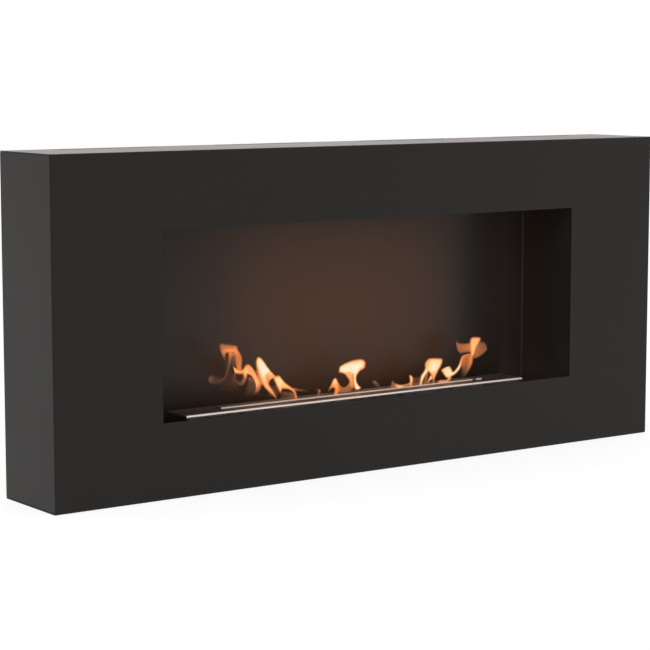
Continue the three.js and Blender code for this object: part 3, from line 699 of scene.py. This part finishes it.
FLAMES = {
    "flame_plume_crown": ((2, -4), [
        (221.2, 353.2, 238.5, 353.0, 0.22, 0.56, 0.50),
        (219.8, 349.8, 238.2, 350.4, 0.20, 0.54, 0.54),
        (219.2, 346.6, 238.0, 348.2, 0.19, 0.35, 0.46),
        (219.4, 342.9, 236.9, 345.3, 0.14, 0.21, 0.28),
    ]),
    "flame_plume_tongue": ((3, 2), [
        (224.0, 361.0, 225.4, 360.8, 0.02, 0.06, 0.02),
        (222.8, 357.4, 225.8, 356.6, 0.20, 0.24, 0.12),
        (221.2, 353.8, 226.6, 353.2, 0.34, 0.36, 0.26),
        (220.2, 350.6, 228.4, 350.4, 0.34, 0.38, 0.46),
    ]),
    "flame_plume_lobe": ((0, -3), [
        (236.4, 370.5, 242.0, 371.0, 0.34, 0.44, 0.50),
        (235.4, 366.0, 242.1, 366.0, 0.24, 0.40, 0.50),
        (234.6, 361.0, 242.3, 361.0, 0.20, 0.38, 0.58),
        (234.4, 356.8, 242.0, 357.0, 0.34, 0.40, 0.48),
        (233.6, 353.2, 240.6, 353.4, 0.58, 0.46, 0.34),
        (233.4, 350.2, 238.6, 350.2, 0.60, 0.60, 0.42),
    ]),
    "flame_plume_hollow": ((4, 0), [
        (231.2, 368.0, 235.6, 368.0, 0.04, 0.05, 0.06),
        (231.0, 361.0, 236.0, 361.0, 0.08, 0.07, 0.14),
        (230.6, 356.6, 235.6, 356.6, 0.24, 0.15, 0.26),
        (229.6, 352.2, 236.0, 352.2, 0.56, 0.52, 0.50),
    ]),
    "flame_plume_strand": ((1, -2), [
        (216.0, 383.6, 216.4, 379.4, 0.02, 0.03, 0.02),
        (221.4, 382.4, 220.8, 378.8, 0.03, 0.05, 0.03),
        (225.4, 379.6, 223.4, 377.0, 0.03, 0.07, 0.03),
        (227.8, 374.4, 225.2, 373.4, 0.03, 0.08, 0.03),
        (229.6, 368.6, 226.8, 367.8, 0.04, 0.11, 0.05),
        (231.4, 362.4, 228.2, 362.0, 0.10, 0.24, 0.14),
        (232.4, 356.8, 228.0, 356.6, 0.20, 0.38, 0.24),
        (233.0, 351.6, 227.6, 351.6, 0.50, 0.56, 0.44),
    ]),
    "flame_left_veil": ((4, 0), [
        (220.0, 392.0, 236.0, 392.0, 0.000, 0.008, 0.000),
        (223.0, 380.0, 234.0, 380.0, 0.010, 0.020, 0.020),
        (224.6, 366.0, 231.0, 366.0, 0.018, 0.018, 0.020),
        (224.4, 356.0, 229.0, 356.0, 0.020, 0.020, 0.030),
    ]),
    "flame_left_curl": ((2, 0), [
        (224.0, 385.4, 223.4, 377.4, 0.00, 0.02, 0.03),
        (219.0, 385.8, 218.6, 376.2, 0.01, 0.025, 0.02),
        (214.4, 385.2, 214.0, 375.0, 0.02, 0.045, 0.03),
        (211.0, 384.0, 210.8, 375.0, 0.04, 0.10, 0.05),
        (208.2, 382.2, 208.2, 377.2, 0.08, 0.17, 0.08),
    ]),
    "flame_loop_brow": ((0, 3), [
        (232.7, 365.5, 233.5, 368.6, 0.40, 0.50, 0.40),
        (234.6, 367.0, 234.9, 373.0, 0.54, 0.70, 0.48),
        (237.2, 368.4, 237.0, 374.3, 0.54, 0.68, 0.38),
        (240.4, 369.2, 240.2, 374.6, 0.50, 0.62, 0.34),
        (243.6, 368.4, 243.4, 374.8, 0.50, 0.60, 0.40),
        (246.4, 366.5, 246.0, 374.4, 0.55, 0.66, 0.50),
    ]),
    "flame_loop": ((-1, 2), [
        (233.6, 371.6, 236.2, 371.8, 0.24, 0.34, 0.20),
        (233.6, 376.6, 236.0, 376.4, 0.08, 0.14, 0.05),
        (234.4, 380.8, 236.9, 379.6, 0.08, 0.12, 0.04),
        (236.7, 384.4, 239.0, 380.4, 0.10, 0.08, 0.04),
        (240.2, 386.4, 240.4, 380.6, 0.11, 0.08, 0.06),
        (243.8, 385.0, 241.8, 379.2, 0.12, 0.15, 0.10),
        (246.2, 380.8, 242.8, 376.8, 0.18, 0.26, 0.14),
        (247.6, 375.6, 243.4, 372.4, 0.36, 0.48, 0.34),
    ]),
    "flame_loop_shade": ((3, 4), [
        (239.0, 393.0, 240.2, 391.6, 0.00, 0.02, 0.00),
        (234.4, 387.0, 237.0, 385.8, 0.03, 0.05, 0.03),
        (231.6, 381.2, 234.8, 380.4, 0.02, 0.05, 0.05),
        (231.2, 374.0, 234.0, 373.6, 0.01, 0.03, 0.03),
    ]),
    "flame_arch": ((1, 5), [
        (243.0, 377.0, 247.4, 378.4, 0.26, 0.40, 0.20),
        (242.8, 370.4, 247.8, 374.6, 0.50, 0.76, 0.54),
        (245.0, 365.4, 249.6, 375.2, 0.50, 0.68, 0.58),
        (248.4, 364.0, 251.8, 376.8, 0.50, 0.62, 0.56),
        (252.6, 367.6, 253.8, 380.0, 0.50, 0.64, 0.52),
        (256.6, 374.2, 255.2, 384.2, 0.55, 0.68, 0.52),
        (260.4, 381.2, 255.4, 388.0, 0.55, 0.62, 0.40),
        (261.4, 387.0, 254.6, 391.2, 0.26, 0.28, 0.14),
        (259.6, 392.0, 254.0, 394.4, 0.04, 0.08, 0.02),
    ]),
    "flame_arch_join": ((4, 5), [
        (259.6, 386.0, 264.0, 385.6, 0.30, 0.40, 0.40),
        (258.4, 380.0, 262.4, 380.0, 0.50, 0.54, 0.54),
        (256.4, 374.6, 260.4, 374.6, 0.44, 0.42, 0.46),
        (254.6, 369.8, 257.8, 369.6, 0.24, 0.28, 0.30),
    ]),
    "flame_arch_veil": ((3, 4), [
        (243.0, 397.0, 262.0, 396.0, 0.00, 0.01, 0.01),
        (245.6, 389.0, 257.0, 388.0, 0.02, 0.05, 0.06),
        (247.4, 382.0, 255.0, 382.0, 0.07, 0.07, 0.16),
        (248.2, 376.6, 252.8, 376.8, 0.24, 0.22, 0.28),
    ]),
    "flame_peak": ((-3, 1), [
        (275.4, 399.2, 277.6, 398.8, 0.06, 0.18, 0.08),
        (272.4, 395.8, 275.8, 394.4, 0.32, 0.48, 0.30),
        (268.0, 391.6, 273.0, 389.6, 0.50, 0.64, 0.48),
        (264.0, 387.0, 269.6, 384.6, 0.50, 0.70, 0.52),
        (261.2, 382.0, 268.0, 379.6, 0.54, 0.78, 0.50),
        (259.0, 376.6, 267.6, 375.0, 0.58, 0.86, 0.56),
        (257.2, 371.4, 270.8, 371.4, 0.56, 1.00, 0.88),
        (255.9, 366.4, 267.6, 366.6, 0.54, 1.00, 0.84),
        (255.6, 361.6, 264.4, 361.6, 0.52, 0.98, 0.66),
        (256.4, 358.2, 261.8, 358.4, 0.46, 0.70, 0.54),
        (257.8, 356.4, 260.0, 356.7, 0.36, 0.48, 0.40),
    ]),
    "flame_peak_wing": ((1, 5), [
        (265.0, 389.0, 269.8, 388.0, 0.34, 0.40, 0.20),
        (263.4, 384.2, 269.2, 383.8, 0.54, 0.58, 0.34),
        (262.4, 379.6, 271.6, 379.4, 0.60, 0.60, 0.42),
        (262.4, 375.8, 276.2, 377.2, 0.66, 0.62, 0.55),
        (264.0, 372.4, 273.8, 374.0, 0.84, 0.80, 0.62),
        (266.0, 369.6, 270.8, 370.8, 0.90, 0.90, 0.70),
    ]),
    "flame_peak_shade": ((6, 6), [
        (266.0, 398.0, 279.0, 397.0, 0.00, 0.02, 0.02),
        (268.0, 391.0, 279.0, 391.0, 0.02, 0.05, 0.06),
        (270.0, 385.0, 277.0, 385.0, 0.04, 0.03, 0.08),
    ]),
    "flame_second": ((2, -2), [
        (279.6, 394.0, 281.2, 393.8, 0.16, 0.24, 0.16),
        (278.2, 390.4, 282.2, 390.2, 0.46, 0.58, 0.46),
        (276.4, 386.4, 284.0, 386.8, 0.55, 0.80, 0.60),
        (274.8, 382.6, 284.4, 382.8, 0.55, 0.90, 0.84),
        (273.2, 379.0, 282.2, 379.2, 0.52, 0.86, 0.88),
        (273.9, 376.8, 280.8, 376.8, 0.50, 0.64, 0.78),
        (275.6, 375.3, 280.0, 375.1, 0.42, 0.52, 0.58),
    ]),
    "flame_second_crest": ((1, -3), [
        (280.6, 388.0, 281.2, 377.4, 0.62, 0.84, 0.72),
        (283.8, 389.2, 284.2, 381.4, 0.54, 0.76, 0.76),
        (287.4, 389.4, 287.8, 384.4, 0.52, 0.74, 0.72),
        (291.2, 391.0, 291.6, 387.0, 0.50, 0.68, 0.56),
        (293.4, 393.4, 295.2, 390.0, 0.44, 0.60, 0.48),
        (293.8, 396.4, 297.2, 394.8, 0.34, 0.50, 0.40),
        (295.2, 399.8, 298.0, 399.4, 0.48, 0.74, 0.50),
    ]),
    "flame_second_veil": ((3, 0), [
        (278.0, 401.0, 295.0, 399.6, 0.02, 0.05, 0.14),
        (280.4, 395.4, 294.6, 395.6, 0.04, 0.06, 0.20),
        (282.4, 390.8, 293.2, 392.4, 0.20, 0.14, 0.30),
    ]),
    "flame_wisp": ((1, -4), [
        (292.6, 390.8, 293.0, 387.2, 0.44, 0.46, 0.34),
        (297.2, 391.4, 297.6, 388.2, 0.10, 0.20, 0.10),
        (301.4, 391.6, 301.6, 389.0, 0.08, 0.17, 0.08),
        (305.4, 391.4, 305.6, 389.6, 0.03, 0.10, 0.04),
        (309.6, 391.4, 309.8, 390.2, 0.00, 0.03, 0.00),
    ]),
    "flame_spark": ((0, 2), [
        (316.8, 397.4, 318.6, 397.2, 0.30, 0.42, 0.30),
        (317.2, 394.0, 319.8, 394.0, 0.14, 0.26, 0.16),
        (317.8, 391.2, 321.0, 391.4, 0.18, 0.34, 0.24),
        (317.4, 388.8, 320.6, 389.0, 0.12, 0.26, 0.18),
    ]),
    "flame_spark_cap": ((1, 3), [
        (319.4, 391.2, 319.4, 388.7, 0.20, 0.26, 0.18),
        (315.2, 390.6, 315.4, 389.0, 0.03, 0.06, 0.03),
    ]),
    "flame_spark_tail": ((0, 2), [
        (319.8, 391.4, 321.4, 390.8, 0.16, 0.22, 0.16),
        (321.2, 394.4, 322.6, 393.8, 0.10, 0.18, 0.10),
        (322.4, 397.0, 324.2, 396.4, 0.20, 0.30, 0.20),
    ]),
    "flame_tent": ((-1, 3), [
        (332.8, 396.6, 338.2, 395.8, 0.44, 0.58, 0.44),
        (333.8, 392.2, 338.8, 391.8, 0.38, 0.56, 0.40),
        (334.0, 388.6, 339.4, 388.2, 0.42, 0.58, 0.44),
        (330.8, 385.8, 340.0, 385.2, 0.48, 0.64, 0.46),
        (331.6, 382.2, 338.4, 382.0, 0.50, 0.84, 0.54),
        (333.0, 379.4, 337.2, 379.2, 0.48, 0.78, 0.50),
        (334.6, 377.4, 336.0, 377.4, 0.38, 0.52, 0.40),
    ]),
    "flame_tent_foot": ((0, 1), [
        (327.9, 392.4, 329.2, 392.6, 0.03, 0.08, 0.03),
        (328.6, 389.0, 331.0, 389.4, 0.20, 0.38, 0.14),
        (330.0, 385.8, 334.0, 387.2, 0.48, 0.58, 0.36),
        (332.2, 383.0, 336.0, 385.4, 0.54, 0.62, 0.50),
    ]),
    "flame_bridge": ((1, 4), [
        (337.0, 392.8, 336.8, 381.6, 0.46, 0.54, 0.55),
        (340.6, 393.2, 340.6, 385.4, 0.22, 0.27, 0.32),
        (344.4, 393.0, 344.4, 386.8, 0.18, 0.24, 0.30),
        (348.0, 392.4, 348.2, 386.0, 0.16, 0.24, 0.36),
        (351.4, 391.0, 350.8, 381.6, 0.12, 0.24, 0.50),
        (354.0, 388.8, 353.4, 378.6, 0.14, 0.40, 0.56),
    ]),
    "flame_bridge_streak": ((0, 3), [
        (343.6, 389.8, 344.2, 387.8, 0.24, 0.30, 0.24),
        (347.2, 388.0, 346.6, 386.0, 0.40, 0.56, 0.42),
        (350.0, 385.4, 348.8, 383.2, 0.46, 0.62, 0.46),
        (351.6, 381.6, 349.8, 380.0, 0.50, 0.60, 0.50),
    ]),
    "flame_mushroom_stem": ((0, 5), [
        (355.2, 390.4, 359.4, 390.0, 0.42, 0.56, 0.42),
        (354.2, 388.2, 361.2, 387.4, 0.60, 1.00, 0.58),
        (353.5, 385.4, 359.0, 385.4, 0.70, 1.00, 0.60),
        (352.9, 381.0, 356.9, 381.2, 0.76, 1.00, 0.58),
        (352.7, 376.0, 356.9, 376.2, 0.80, 1.00, 0.58),
        (352.0, 371.6, 359.4, 371.8, 0.86, 1.00, 0.64),
        (351.4, 367.0, 362.0, 367.0, 0.92, 1.00, 0.90),
    ]),
    "flame_mushroom_side": ((2, 4), [
        (350.6, 388.4, 354.2, 388.4, 0.14, 0.24, 0.30),
        (349.4, 384.2, 354.4, 384.6, 0.50, 0.52, 0.50),
        (348.9, 380.8, 354.2, 381.0, 0.54, 0.60, 0.56),
        (346.7, 377.2, 354.2, 377.4, 0.54, 0.62, 0.58),
        (344.4, 374.0, 354.2, 374.0, 0.62, 0.70, 0.66),
        (342.5, 371.4, 354.2, 371.0, 0.86, 0.90, 0.86),
    ]),
    "flame_mushroom_cap": ((-1, 2), [
        (338.2, 373.4, 339.2, 366.6, 0.42, 0.58, 0.48),
        (341.0, 373.2, 341.6, 364.9, 0.55, 0.97, 0.55),
        (345.0, 374.2, 345.6, 362.7, 0.80, 1.00, 0.56),
        (350.0, 373.6, 350.6, 360.7, 0.80, 1.00, 0.56),
        (355.4, 374.8, 355.6, 359.4, 0.95, 1.00, 0.56),
        (359.6, 371.4, 360.2, 358.8, 0.60, 1.00, 0.56),
        (363.0, 369.6, 363.8, 359.7, 0.48, 0.82, 0.50),
        (365.6, 367.8, 366.0, 362.0, 0.36, 0.52, 0.36),
    ]),
    "flame_wave_crest": ((0, 2), [
        (389.4, 388.6, 395.4, 387.8, 0.08, 0.20, 0.24),
        (390.6, 384.6, 395.6, 384.4, 0.12, 0.23, 0.30),
        (391.2, 381.8, 394.2, 381.8, 0.12, 0.22, 0.18),
        (391.8, 379.8, 393.2, 379.8, 0.06, 0.12, 0.06),
    ]),
    "flame_wave": ((0, 2), [
        (393.8, 386.8, 394.4, 382.4, 0.18, 0.34, 0.24),
        (397.0, 388.6, 397.4, 383.7, 0.48, 0.66, 0.48),
        (400.6, 389.0, 400.6, 384.5, 0.62, 0.84, 0.50),
        (404.2, 387.4, 404.2, 384.2, 0.44, 0.60, 0.40),
        (407.6, 386.2, 407.4, 383.2, 0.38, 0.50, 0.38),
        (411.0, 385.4, 410.0, 381.6, 0.46, 0.60, 0.46),
    ]),
    "flame_wave_column": ((-1, 2), [
        (409.2, 387.4, 412.0, 387.0, 0.34, 0.50, 0.34),
        (409.2, 383.8, 412.8, 383.6, 0.50, 0.72, 0.48),
        (409.5, 380.0, 413.3, 380.0, 0.54, 0.92, 0.56),
        (409.1, 376.8, 412.9, 377.0, 0.54, 0.90, 0.54),
        (408.8, 374.6, 411.2, 374.8, 0.38, 0.56, 0.38),
    ]),
    "flame_wave_veil": ((1, 1), [
        (411.6, 387.0, 421.0, 385.8, 0.12, 0.06, 0.14),
        (412.4, 381.4, 420.8, 380.8, 0.22, 0.06, 0.12),
        (412.2, 377.2, 421.0, 376.4, 0.20, 0.05, 0.18),
    ]),
    "flame_tall_leg": ((-1, 2), [
        (418.8, 387.4, 421.6, 387.0, 0.50, 0.72, 0.50),
        (419.2, 383.6, 422.5, 383.4, 0.55, 0.90, 0.55),
        (419.7, 379.6, 423.8, 379.6, 0.56, 0.94, 0.58),
        (420.6, 375.7, 425.6, 376.2, 0.55, 0.97, 0.58),
        (423.0, 372.0, 428.0, 372.6, 0.56, 0.96, 0.66),
        (424.7, 368.4, 430.2, 369.0, 0.55, 0.94, 0.85),
        (424.8, 364.8, 432.0, 365.0, 0.52, 0.84, 0.85),
    ]),
    "flame_tall_head": ((-2, 0), [
        (432.4, 386.0, 435.2, 385.6, 0.40, 0.56, 0.40),
        (432.2, 381.6, 434.7, 381.4, 0.24, 0.42, 0.30),
        (431.4, 377.4, 435.6, 377.4, 0.40, 0.62, 0.50),
        (429.9, 373.8, 437.2, 373.8, 0.60, 0.70, 0.60),
        (427.2, 370.2, 438.8, 370.2, 0.74, 0.92, 0.66),
        (424.7, 366.4, 440.8, 366.6, 0.55, 0.94, 0.78),
        (425.0, 362.6, 442.4, 362.6, 0.54, 0.88, 0.86),
        (427.2, 359.6, 442.7, 359.8, 0.50, 0.78, 0.66),
        (428.8, 357.9, 441.6, 357.8, 0.42, 0.58, 0.48),
    ]),
    "flame_tall_fold": ((-3, 1), [
        (426.4, 383.2, 428.0, 383.6, 0.16, 0.30, 0.16),
        (427.4, 380.6, 429.6, 381.6, 0.44, 0.70, 0.40),
        (428.8, 377.6, 432.4, 379.2, 0.56, 0.86, 0.56),
        (429.8, 374.4, 435.0, 376.4, 0.56, 0.66, 0.56),
    ]),
    "flame_tall_veil": ((3, 2), [
        (422.4, 386.8, 433.6, 385.6, 0.14, 0.10, 0.10),
        (423.6, 380.4, 428.6, 380.4, 0.26, 0.18, 0.05),
        (425.4, 375.4, 428.2, 375.6, 0.44, 0.36, 0.10),
        (427.2, 371.8, 429.4, 372.2, 0.60, 0.44, 0.30),
    ]),
    "flame_ground": ((0, 1), [
        (436.2, 383.4, 437.0, 381.4, 0.16, 0.28, 0.18),
        (440.0, 383.8, 440.0, 379.8, 0.44, 0.58, 0.48),
        (444.4, 383.6, 444.4, 379.7, 0.46, 0.60, 0.50),
        (447.6, 382.8, 446.4, 379.4, 0.50, 0.64, 0.50),
        (450.2, 380.4, 447.6, 377.6, 0.48, 0.62, 0.50),
        (452.4, 376.8, 449.0, 375.0, 0.60, 0.80, 0.66),
    ]),
    "flame_diamond": ((0, 2), [
        (446.4, 378.7, 449.2, 378.0, 0.44, 0.58, 0.52),
        (444.0, 375.4, 451.8, 375.6, 0.55, 0.90, 0.96),
        (441.9, 372.4, 452.8, 372.6, 0.54, 0.92, 0.98),
        (440.8, 370.0, 452.2, 370.0, 0.48, 0.90, 0.84),
        (444.2, 367.7, 451.2, 367.7, 0.48, 0.80, 0.58),
        (448.4, 366.0, 450.3, 365.9, 0.40, 0.50, 0.40),
    ]),
    "flame_swoosh": ((-1, 3), [
        (447.6, 377.0, 447.4, 372.0, 0.74, 0.96, 0.86),
        (451.6, 376.4, 451.0, 371.6, 0.76, 1.10, 0.92),
        (455.4, 374.2, 454.0, 370.9, 0.66, 1.15, 0.80),
        (458.8, 370.7, 456.8, 367.6, 0.56, 1.12, 0.70),
        (461.2, 366.6, 458.7, 364.2, 0.44, 0.98, 0.60),
        (462.5, 361.8, 459.9, 360.2, 0.34, 0.72, 0.52),
        (464.0, 357.8, 461.4, 356.2, 0.34, 0.54, 0.44),
        (466.6, 355.6, 464.6, 354.0, 0.34, 0.44, 0.34),
    ]),
    "flame_sleeve": ((1, 5), [
        (460.0, 378.4, 465.4, 377.4, 0.00, 0.02, 0.03),
        (460.6, 373.2, 467.0, 373.6, 0.03, 0.05, 0.28),
        (461.0, 368.6, 470.2, 368.3, 0.10, 0.14, 0.56),
        (460.4, 363.8, 472.2, 363.8, 0.36, 0.22, 0.70),
        (460.8, 359.4, 473.1, 359.4, 0.50, 0.26, 0.74),
        (462.8, 355.8, 473.8, 355.8, 0.42, 0.36, 0.70),
        (466.6, 353.4, 474.4, 353.2, 0.34, 0.44, 0.60),
    ]),
    "flame_tip": ((0, 3), [
        (470.6, 356.6, 474.0, 356.6, 0.40, 0.62, 0.45),
        (469.7, 352.0, 475.7, 352.0, 0.46, 0.70, 0.50),
        (469.3, 347.0, 477.2, 347.2, 0.50, 0.75, 0.50),
        (469.4, 342.4, 479.6, 342.6, 0.50, 0.74, 0.52),
        (470.2, 339.0, 481.0, 339.4, 0.50, 0.68, 0.52),
        (472.4, 336.6, 480.2, 337.0, 0.42, 0.56, 0.44),
    ]),
    "flame_tip_left": ((1, 4), [
        (471.5, 352.4, 471.5, 342.6, 0.30, 0.42, 0.40),
        (465.5, 353.0, 465.5, 343.2, 0.14, 0.32, 0.32),
        (460.6, 354.0, 460.5, 343.2, 0.10, 0.25, 0.28),
        (457.8, 351.2, 457.3, 341.9, 0.14, 0.22, 0.25),
        (456.4, 346.0, 455.7, 340.2, 0.10, 0.20, 0.18),
    ]),
    "flame_tip_right": ((2, 6), [
        (473.0, 359.0, 476.6, 344.0, 0.30, 0.36, 0.30),
        (477.8, 357.6, 480.6, 341.2, 0.22, 0.24, 0.12),
        (482.6, 354.6, 484.2, 341.6, 0.20, 0.20, 0.06),
        (486.2, 351.2, 486.2, 344.2, 0.18, 0.15, 0.04),
        (488.0, 349.8, 487.2, 347.8, 0.10, 0.09, 0.04),
    ]),
}

BLUE_FLAMES = {
    "flame_low_wisp": ((0, 1), [
        (371.0, 381.8, 375.0, 379.6, 0.10, 0.26, 0.40),
        (373.6, 385.2, 378.2, 383.4, 0.06, 0.14, 0.44),
        (376.6, 387.6, 380.6, 386.4, 0.10, 0.12, 0.26),
        (380.0, 389.4, 386.4, 388.0, 0.04, 0.08, 0.08),
    ]),
}


def curve_value(rows, t):
    """Every column of rows at t between 0 and 1, on one smooth curve through the rows."""
    at = t * (len(rows) - 1)
    k = min(int(at), len(rows) - 2)
    f = at - k
    a, b = rows[k], rows[k + 1]
    before = rows[k - 1] if k else [2 * p - q for p, q in zip(a, b)]
    after = rows[k + 2] if k + 2 < len(rows) else [2 * q - p for p, q in zip(a, b)]
    return [
        0.5 * (2 * q + (r - p) * f + (2 * p - 5 * q + 4 * r - s) * f * f + (3 * q - p - 3 * r + s) * f ** 3)
        for p, q, r, s in zip(before, a, b, after)
    ]


def soft_step(value):
    value = min(max(value, 0.0), 1.0)
    return value * value * (3 - 2 * value)


def fringe(from_start, from_end):
    """0 at either end of a stretch, and 1 from the fringe's width inwards."""
    return soft_step(from_start / FLAME_FRINGE) * soft_step(from_end / FLAME_FRINGE)


def beyond(point, other, reach):
    """The point moved away from the other by reach."""
    length = math.dist(point, other)
    return [p + (p - q) * reach / length for p, q in zip(point, other)]


def row_middles(rows):
    return [((row[0] + row[2]) / 2, (row[1] + row[3]) / 2) for row in rows]


def flame_rows(rows):
    """Many smooth rows through the given ones, let out a little on all sides."""
    steps = FLAME_STEPS * (len(rows) - 1)
    dense = [curve_value(rows, i / steps) for i in range(steps + 1)]
    middles = row_middles(dense)
    for end, inner in ((0, 1), (-1, -2)):
        shift = [a - b for a, b in zip(beyond(middles[end], middles[inner], FLAME_OUTSET), middles[end])]
        row = dense[end]
        added = [row[0] + shift[0], row[1] + shift[1], row[2] + shift[0], row[3] + shift[1], *row[4:]]
        dense.insert(len(dense) if end else 0, added)
    return [
        [*beyond(row[0:2], row[2:4], FLAME_OUTSET), *beyond(row[2:4], row[0:2], FLAME_OUTSET), *row[4:]]
        for row in dense
    ]


def climbs(rows):
    """How far along the sheet's middle line each row lies."""
    middles = row_middles(rows)
    climbed = [0.0]
    for below, above in zip(middles, middles[1:]):
        climbed.append(climbed[-1] + math.dist(below, above))
    return climbed


def flame_grid(depths, rows, shares):
    """The points of a sheet through the rows, its middle bulging forwards, and at each point its
    glow, its cover, and its place across and along the sheet."""
    points, glows, covers, flow = [], [], [], []
    climbed = climbs(rows)
    tip = climbed[-1]
    foot = shutter_top + FLAME_FOOT_RISE
    for (left_x, left_y, right_x, right_y, left, middle, right), climb in zip(rows, climbed):
        width = math.hypot(right_x - left_x, right_y - left_y)
        depth = plate_middle.y + (depths[0] + (depths[1] - depths[0]) * climb / tip) * MM
        for u in shares:
            bulge = FLAME_BULGE * width * PIXEL_AT_OBJECT * 4 * u * (1 - u)
            point = through_pixel(left_x + (right_x - left_x) * u, left_y + (right_y - left_y) * u,
                                  depth - bulge)
            point.z = max(point.z, foot)
            points.append(point)
            edge = left if u < 0.5 else right
            glow = middle + (edge - middle) * abs(2 * u - 1) ** FLAME_FULLNESS
            inside = soft_step(min(u * width, (1 - u) * width, climb, tip - climb) / FLAME_CORE)
            glows.append(min(glow, 1.0) * (FLAME_RIM_GLOW + (1 - FLAME_RIM_GLOW) * inside))
            covers.append(fringe(climb, tip - climb) * fringe(u * width, (1 - u) * width))
            flow.append((u * width, climb))
    return points, glows, covers, flow


def flame_sheet(name, depths, rows, material):
    """One sheet of flame, which rides on the burner."""
    shares = [0.5 - 0.5 * math.cos(math.pi * k / FLAME_COLUMNS) for k in range(FLAME_COLUMNS + 1)]
    points, glows, covers, flow = flame_grid(depths, flame_rows(rows), shares)
    columns = len(shares)
    faces = [
        (k, k + 1, k + columns + 1, k + columns)
        for low in range(0, len(points) - columns, columns)
        for k in range(low, low + columns - 1)
    ]
    sheet = add_mesh(name, points, faces, material, "burner")
    sheet.data.shade_smooth()
    for key, values in (("glow", glows), ("cover", covers)):
        sheet.data.attributes.new(key, "FLOAT", "POINT").data.foreach_set("value", values)
    layer = sheet.data.uv_layers.new(name="flow")
    for loop in sheet.data.loops:
        layer.data[loop.index].uv = flow[loop.vertex_index]
    sheet.visible_shadow = False
    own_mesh(sheet)


def add_flames(flames, material):
    for name, (depths, rows) in flames.items():
        flame_sheet(name, depths, rows, material)


# Surroundings

def grey(level):
    return (level, level, level, 1)


def seen_or_mirrored(tree):
    """1 for rays that show the background: to the camera, in gloss and through glass."""
    path = add_node(tree, "ShaderNodeLightPath").outputs
    seen = path["Is Camera Ray"]
    for name in ("Is Glossy Ray", "Is Transmission Ray"):
        either = add_node(tree, "ShaderNodeMath", seen, path[name], settings={"operation": "MAXIMUM"})
        seen = either.outputs[0]
    return seen


def make_world():
    """White where it is seen, a little warm in gloss, and dimmer where it only gives light."""
    world = bpy.data.worlds.new("studio")
    bpy.context.scene.world = world
    world.use_nodes = True
    tree = world.node_tree
    mirrored = add_node(tree, "ShaderNodeLightPath").outputs["Is Glossy Ray"]
    level = add_node(tree, "ShaderNodeMapRange", Value=seen_or_mirrored(tree),
                     To_Min=WORLD_LEVEL, To_Max=1.0)
    feed(tree.nodes["Background"], Color=blend(tree, mirrored, grey(1), MIRRORED_TINT),
         Strength=level.outputs[0])


def floor_paint():
    """A matt grey that shows as white, so that the floor keeps the object's shadow."""
    material = bpy.data.materials.new("floor")
    material.use_nodes = True
    tree = material.node_tree
    tree.nodes.remove(tree.nodes["Principled BSDF"])
    paint = add_node(tree, "ShaderNodeBsdfDiffuse", Color=grey(FLOOR_GREY))
    shown = add_node(tree, "ShaderNodeBsdfDiffuse", Color=grey(FLOOR_SHOWN))
    lift = add_node(tree, "ShaderNodeEmission", Strength=FLOOR_LIFT)
    lifted = add_node(tree, "ShaderNodeAddShader", shown.outputs[0], lift.outputs[0])
    mix = add_node(tree, "ShaderNodeMixShader", seen_or_mirrored(tree), paint.outputs[0], lifted.outputs[0])
    feed(tree.nodes["Material Output"], Surface=mix.outputs[0])
    return material


def make_floor():
    mesh = bpy.data.meshes.new("floor")
    sides = ((-1, -1), (1, -1), (1, 1), (-1, 1))
    corners = [(x * FLOOR_HALF, y * FLOOR_HALF, -FLOOR_DROP) for x, y in sides]
    mesh.from_pydata(corners, [], [(0, 1, 2, 3)])
    mesh.materials.append(floor_paint())
    floor = bpy.data.objects.new("floor", mesh)
    bpy.context.scene.collection.objects.link(floor)


def area_light(name, place, target, size, watts, colour=(1, 1, 1)):
    data = bpy.data.lights.new(name, "AREA")
    data.shape = "RECTANGLE"
    data.size, data.size_y = size
    data.energy = watts
    data.color = colour
    lamp = bpy.data.objects.new(name, data)
    bpy.context.scene.collection.objects.link(lamp)
    lamp.location = place
    lamp.rotation_euler = (Vector(target) - Vector(place)).to_track_quat("-Z", "Y").to_euler()
    lamp.visible_camera = False
    lamp.visible_glossy = False


def make_lights():
    area_light("key", (-1.6, -2.4, 3.0), LAMPS_AIM, size=(2.4, 2.4), watts=30)
    area_light("fill", (2.6, -1.6, 1.4), LAMPS_AIM, size=(1.8, 1.8), watts=5)
    area_light("fire_glow", FLAMES_MIDDLE, FLAMES_BEHIND, size=(0.42, 0.27), watts=1.2,
               colour=(1.0, 0.38, 0.13))


# The model

make_camera()
looks = make_looks()
add_details(looks)
dress_all(looks)
add_flames(FLAMES, looks["flame"])
add_flames(BLUE_FLAMES, looks["blue_flame"])
make_world()
make_floor()
make_lights()
bpy.context.scene.view_settings.view_transform = "Standard"
